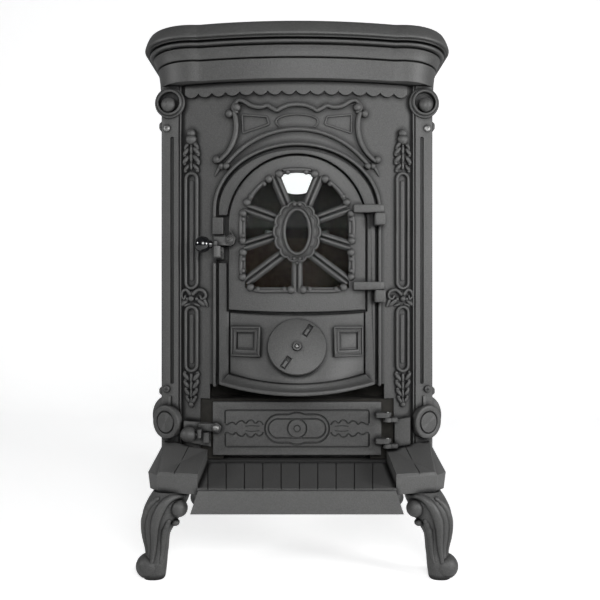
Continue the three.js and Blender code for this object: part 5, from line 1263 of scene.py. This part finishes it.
catch_top, hook_y = fire_z - 9.7, fire_back - 7.5
catch_plate = rounded(corners(-131, -116, catch_top - 20, catch_top), 1.5)
hook_side = [
    (hook_y - 4, catch_top - 16.5), (hook_y - 2.5, catch_top - 18), (front_y + 10, catch_top - 18),
    (front_y + 10, catch_top - 10), (hook_y, catch_top - 10), (hook_y, catch_top - 0.8),
    (hook_y - 1, catch_top), (hook_y - 3.2, catch_top), (hook_y - 4, catch_top - 0.8),
]
hook = []
for x, inset in ((-129, 1.5), (-128.4, 0), (-119.6, 0), (-119, 1.5)):
    hook.append([(x, y + (hook_y + 8 - y) * inset / 40, z) for y, z in hook_side])
catch = [flat_plate([catch_plate], -11.2, -7.2, 0.8, onto=upright_at(front_y)), skin_over(hook)]
cast_piece("fire_door_catch", catch, grey_paint, "fire_catch", sharp=38)


# The ash door: a flat cast plate in front of a recess coloured near-black as painted shade, with an engraved
# border, leaves and cartouche; it hangs on two pins in a bracket at its right.
ash_face, ash_low, ash_high, ash_mid = -97.0, base_top + 8, base_top + 93, base_top + 50.5
ash_outline = rounded(corners(-134, 134, ash_low, ash_high), 2)
plate = flat_plate([ash_outline], -7, 0, 1.1, onto=upright_at(ash_face))


def groove(points, closed=False, size=1.5):
    """What is cut out of the ash door along a line."""
    line = [(x, ash_face - 0.25, z) for x, z in points]
    return run_bead(line, size, sides=8, closed=closed, round_ends=False)


def cartouche(half_width, half_height, ball):
    """A stadium with round ends that swells to a circle in its middle."""
    made, count = [], 96
    for k in range(count):
        a = 2 * math.pi * k / count
        x = half_width * math.cos(a)
        past = max(0.0, (abs(x) - half_width + half_height) / half_height)
        edge = max(0.0, 1 - past ** 2) ** 0.5 * half_height
        swell = math.sqrt(max(ball ** 2 - x * x, 0))
        rise = math.copysign(max(edge, swell), math.sin(a)) if abs(math.sin(a)) > 1e-6 else 0
        made.append((x, ash_mid + rise))
    return made


cuts = [groove(cartouche(51, 22.4, 25.4), True, 1.7), groove(cartouche(45.4, 15, 0), True, 1.5)]
# One quarter of the border and of the leaves, from the middle of the door outwards and upwards.
border_x, border_top, border_side = 111, 29, 114.4
leaf_edge = curve_through([
    (-114, 6.5), (-110, 6.5), (-106, 9), (-101, 9.4), (-97, 6.6), (-93, 10.6), (-87, 12.4), (-81.5, 8.2),
    (-77, 12.4), (-71, 13), (-66, 8.4), (-61.5, 11.6), (-56.5, 10), (-53.6, 5.5),
], 3)
vein = curve_through([(60, 3.4), (72, 4.6), (82, 3.4)], 4)
for side in (-1, 1):
    for way in (-1, 1):
        border = spread([(0, ash_mid + way * border_top), (side * border_x, ash_mid + way * border_top)])
        border += [(side * 113.6, ash_mid + way * 28.3), (side * border_side, ash_mid + way * 26)]
        border += spread([(side * border_side, ash_mid + way * z) for z in (24, 8)])
        cuts.append(groove(border, size=1.6))
        cuts.append(groove([(side * -x, ash_mid + way * z) for x, z in leaf_edge], size=1.45))
        cuts.append(groove([(side * x, ash_mid + way * z) for x, z in vein], size=1.0))
for radius, size in ((15, 1.5), (5, 1.1)):
    cuts.append(groove(arc(0, ash_mid, radius, 0, 352.5, 47), True, size))
ash_hinge_x, ash_hinge_y = 143.0, -103.0
lug_plan = rounded([
    (124, ash_hinge_y - 4.5), (ash_hinge_x, ash_hinge_y - 7), (ash_hinge_x + 7, ash_hinge_y),
    (ash_hinge_x, ash_hinge_y + 7), (136, ash_hinge_y + 5.4), (132.8, ash_face + 2), (124, ash_face + 2),
], 2.5, 4)
ash_door = [carve(plate, *cuts)]
for foot in (base_top + 28, base_top + 69.3):
    rings = []
    for rise, inset in ((0, 0.7), (0.6, 0), (7.4, 0), (8, 0.7)):
        rings.append([(x, y, foot + rise) for x, y in drawn_in(lug_plan, (137, ash_hinge_y), inset, (13, 7))])
    at = (ash_hinge_x, ash_hinge_y, foot)
    pin_hole = turned_disc([(pin_radius, -2), (pin_radius, 12)], at, (0, 0, 1), 24)
    ash_door.append(carve(skin_over(rings), pin_hole))
cast_piece("engraved_ash_door", ash_door, grey_paint, "ash_door", body="ash_door", sharp=34)
ash_x, ash_z = ash_pivot = (-128.0, base_top + 52)
ash_back = ash_face - 0.4
egg_y, egg_z = ash_back - 12.6, ash_z - 8.5
ash_lever = lever(ash_pivot, ash_back, 28, ash_z - 5.5, ash_z + 7, (12, egg_y, egg_z))
cast_piece("ash_door_lever", ash_lever, grey_paint, "ash_latch_lever", body="ash_latch", sharp=38)
ash_screw = pivot_screw(ash_pivot, ash_back)
cast_piece("ash_door_pivot_screw", ash_screw, zinc, "ash_latch_pivot", body="ash_door", slot="zinc", sharp=35)
egg_knob = round_lump((ash_x - 42.5, egg_y, egg_z), (12.7, 11.8, 11.8), across=40, up=24)
cast_piece("ash_door_knob", [egg_knob], grey_paint, "ash_latch_knob", body="ash_latch", sharp=60)


# Beside the ash door: on the left the plate with the hook for its lever, on the right the
# bracket that holds its pins. Behind it the recess, coloured near-black as painted shade, a rope seal and the
# ash pan.
for name in ("ash_keeper", "ash_hinge_bracket"):
    finish_node(name, grey_paint, edge=0.9)
for level in ("lower", "upper"):
    finish_node(f"ash_hinge_pin_{level}", zinc, "zinc", edge=0)
finish_node("ash_seal", black_rope, "rope", edge=0)
# Near-black iron: the grate's and the retainer's own colour, and painted shade on the recess behind the ash
# door.
dark_iron_and_painted_shade = plain_finish("black_iron_and_painted_shade", (0.014, 0.013, 0.0105), (0.024, 0.022, 0.018), 90, 0.85, 0.3)
finish_node("ash_front", dark_iron_and_painted_shade, "dark_iron")
pan_steel = plain_finish(
    "ash_pan_steel", (0.03, 0.03, 0.03), (0.07, 0.068, 0.066), 60, 0.5, also={"Metallic": 0.8},
)
finish_node("ash_pan", pan_steel, "steel", edge=0.6)


# The fire chamber: a slotted grate in its frame, fire bricks on three sides, and over the rear
# brick an iron angle held by two bolts. New bricks are brown; nothing has burnt in it yet.
for name in ("grate_frame", "grate", "brick_retainer"):
    finish_node(name, dark_iron_and_painted_shade, "dark_iron")
fire_clay = plain_finish("brown_fire_clay", (0.045, 0.032, 0.024), (0.075, 0.055, 0.042), 120, 0.95, 0.5)
for side in ("left", "right", "rear"):
    finish_node(f"brick_{side}", fire_clay, "firebrick", edge=1.2)
for side in ("left", "right"):
    finish_node(f"retainer_bolt_{side}", zinc, "zinc", edge=0.3)
# Whatever has no finish yet is painted as the stove is.
for name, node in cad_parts.items():
    if not node.hide_render and not node.get("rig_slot"):
        finish_node(name, grey_paint, edge=0)
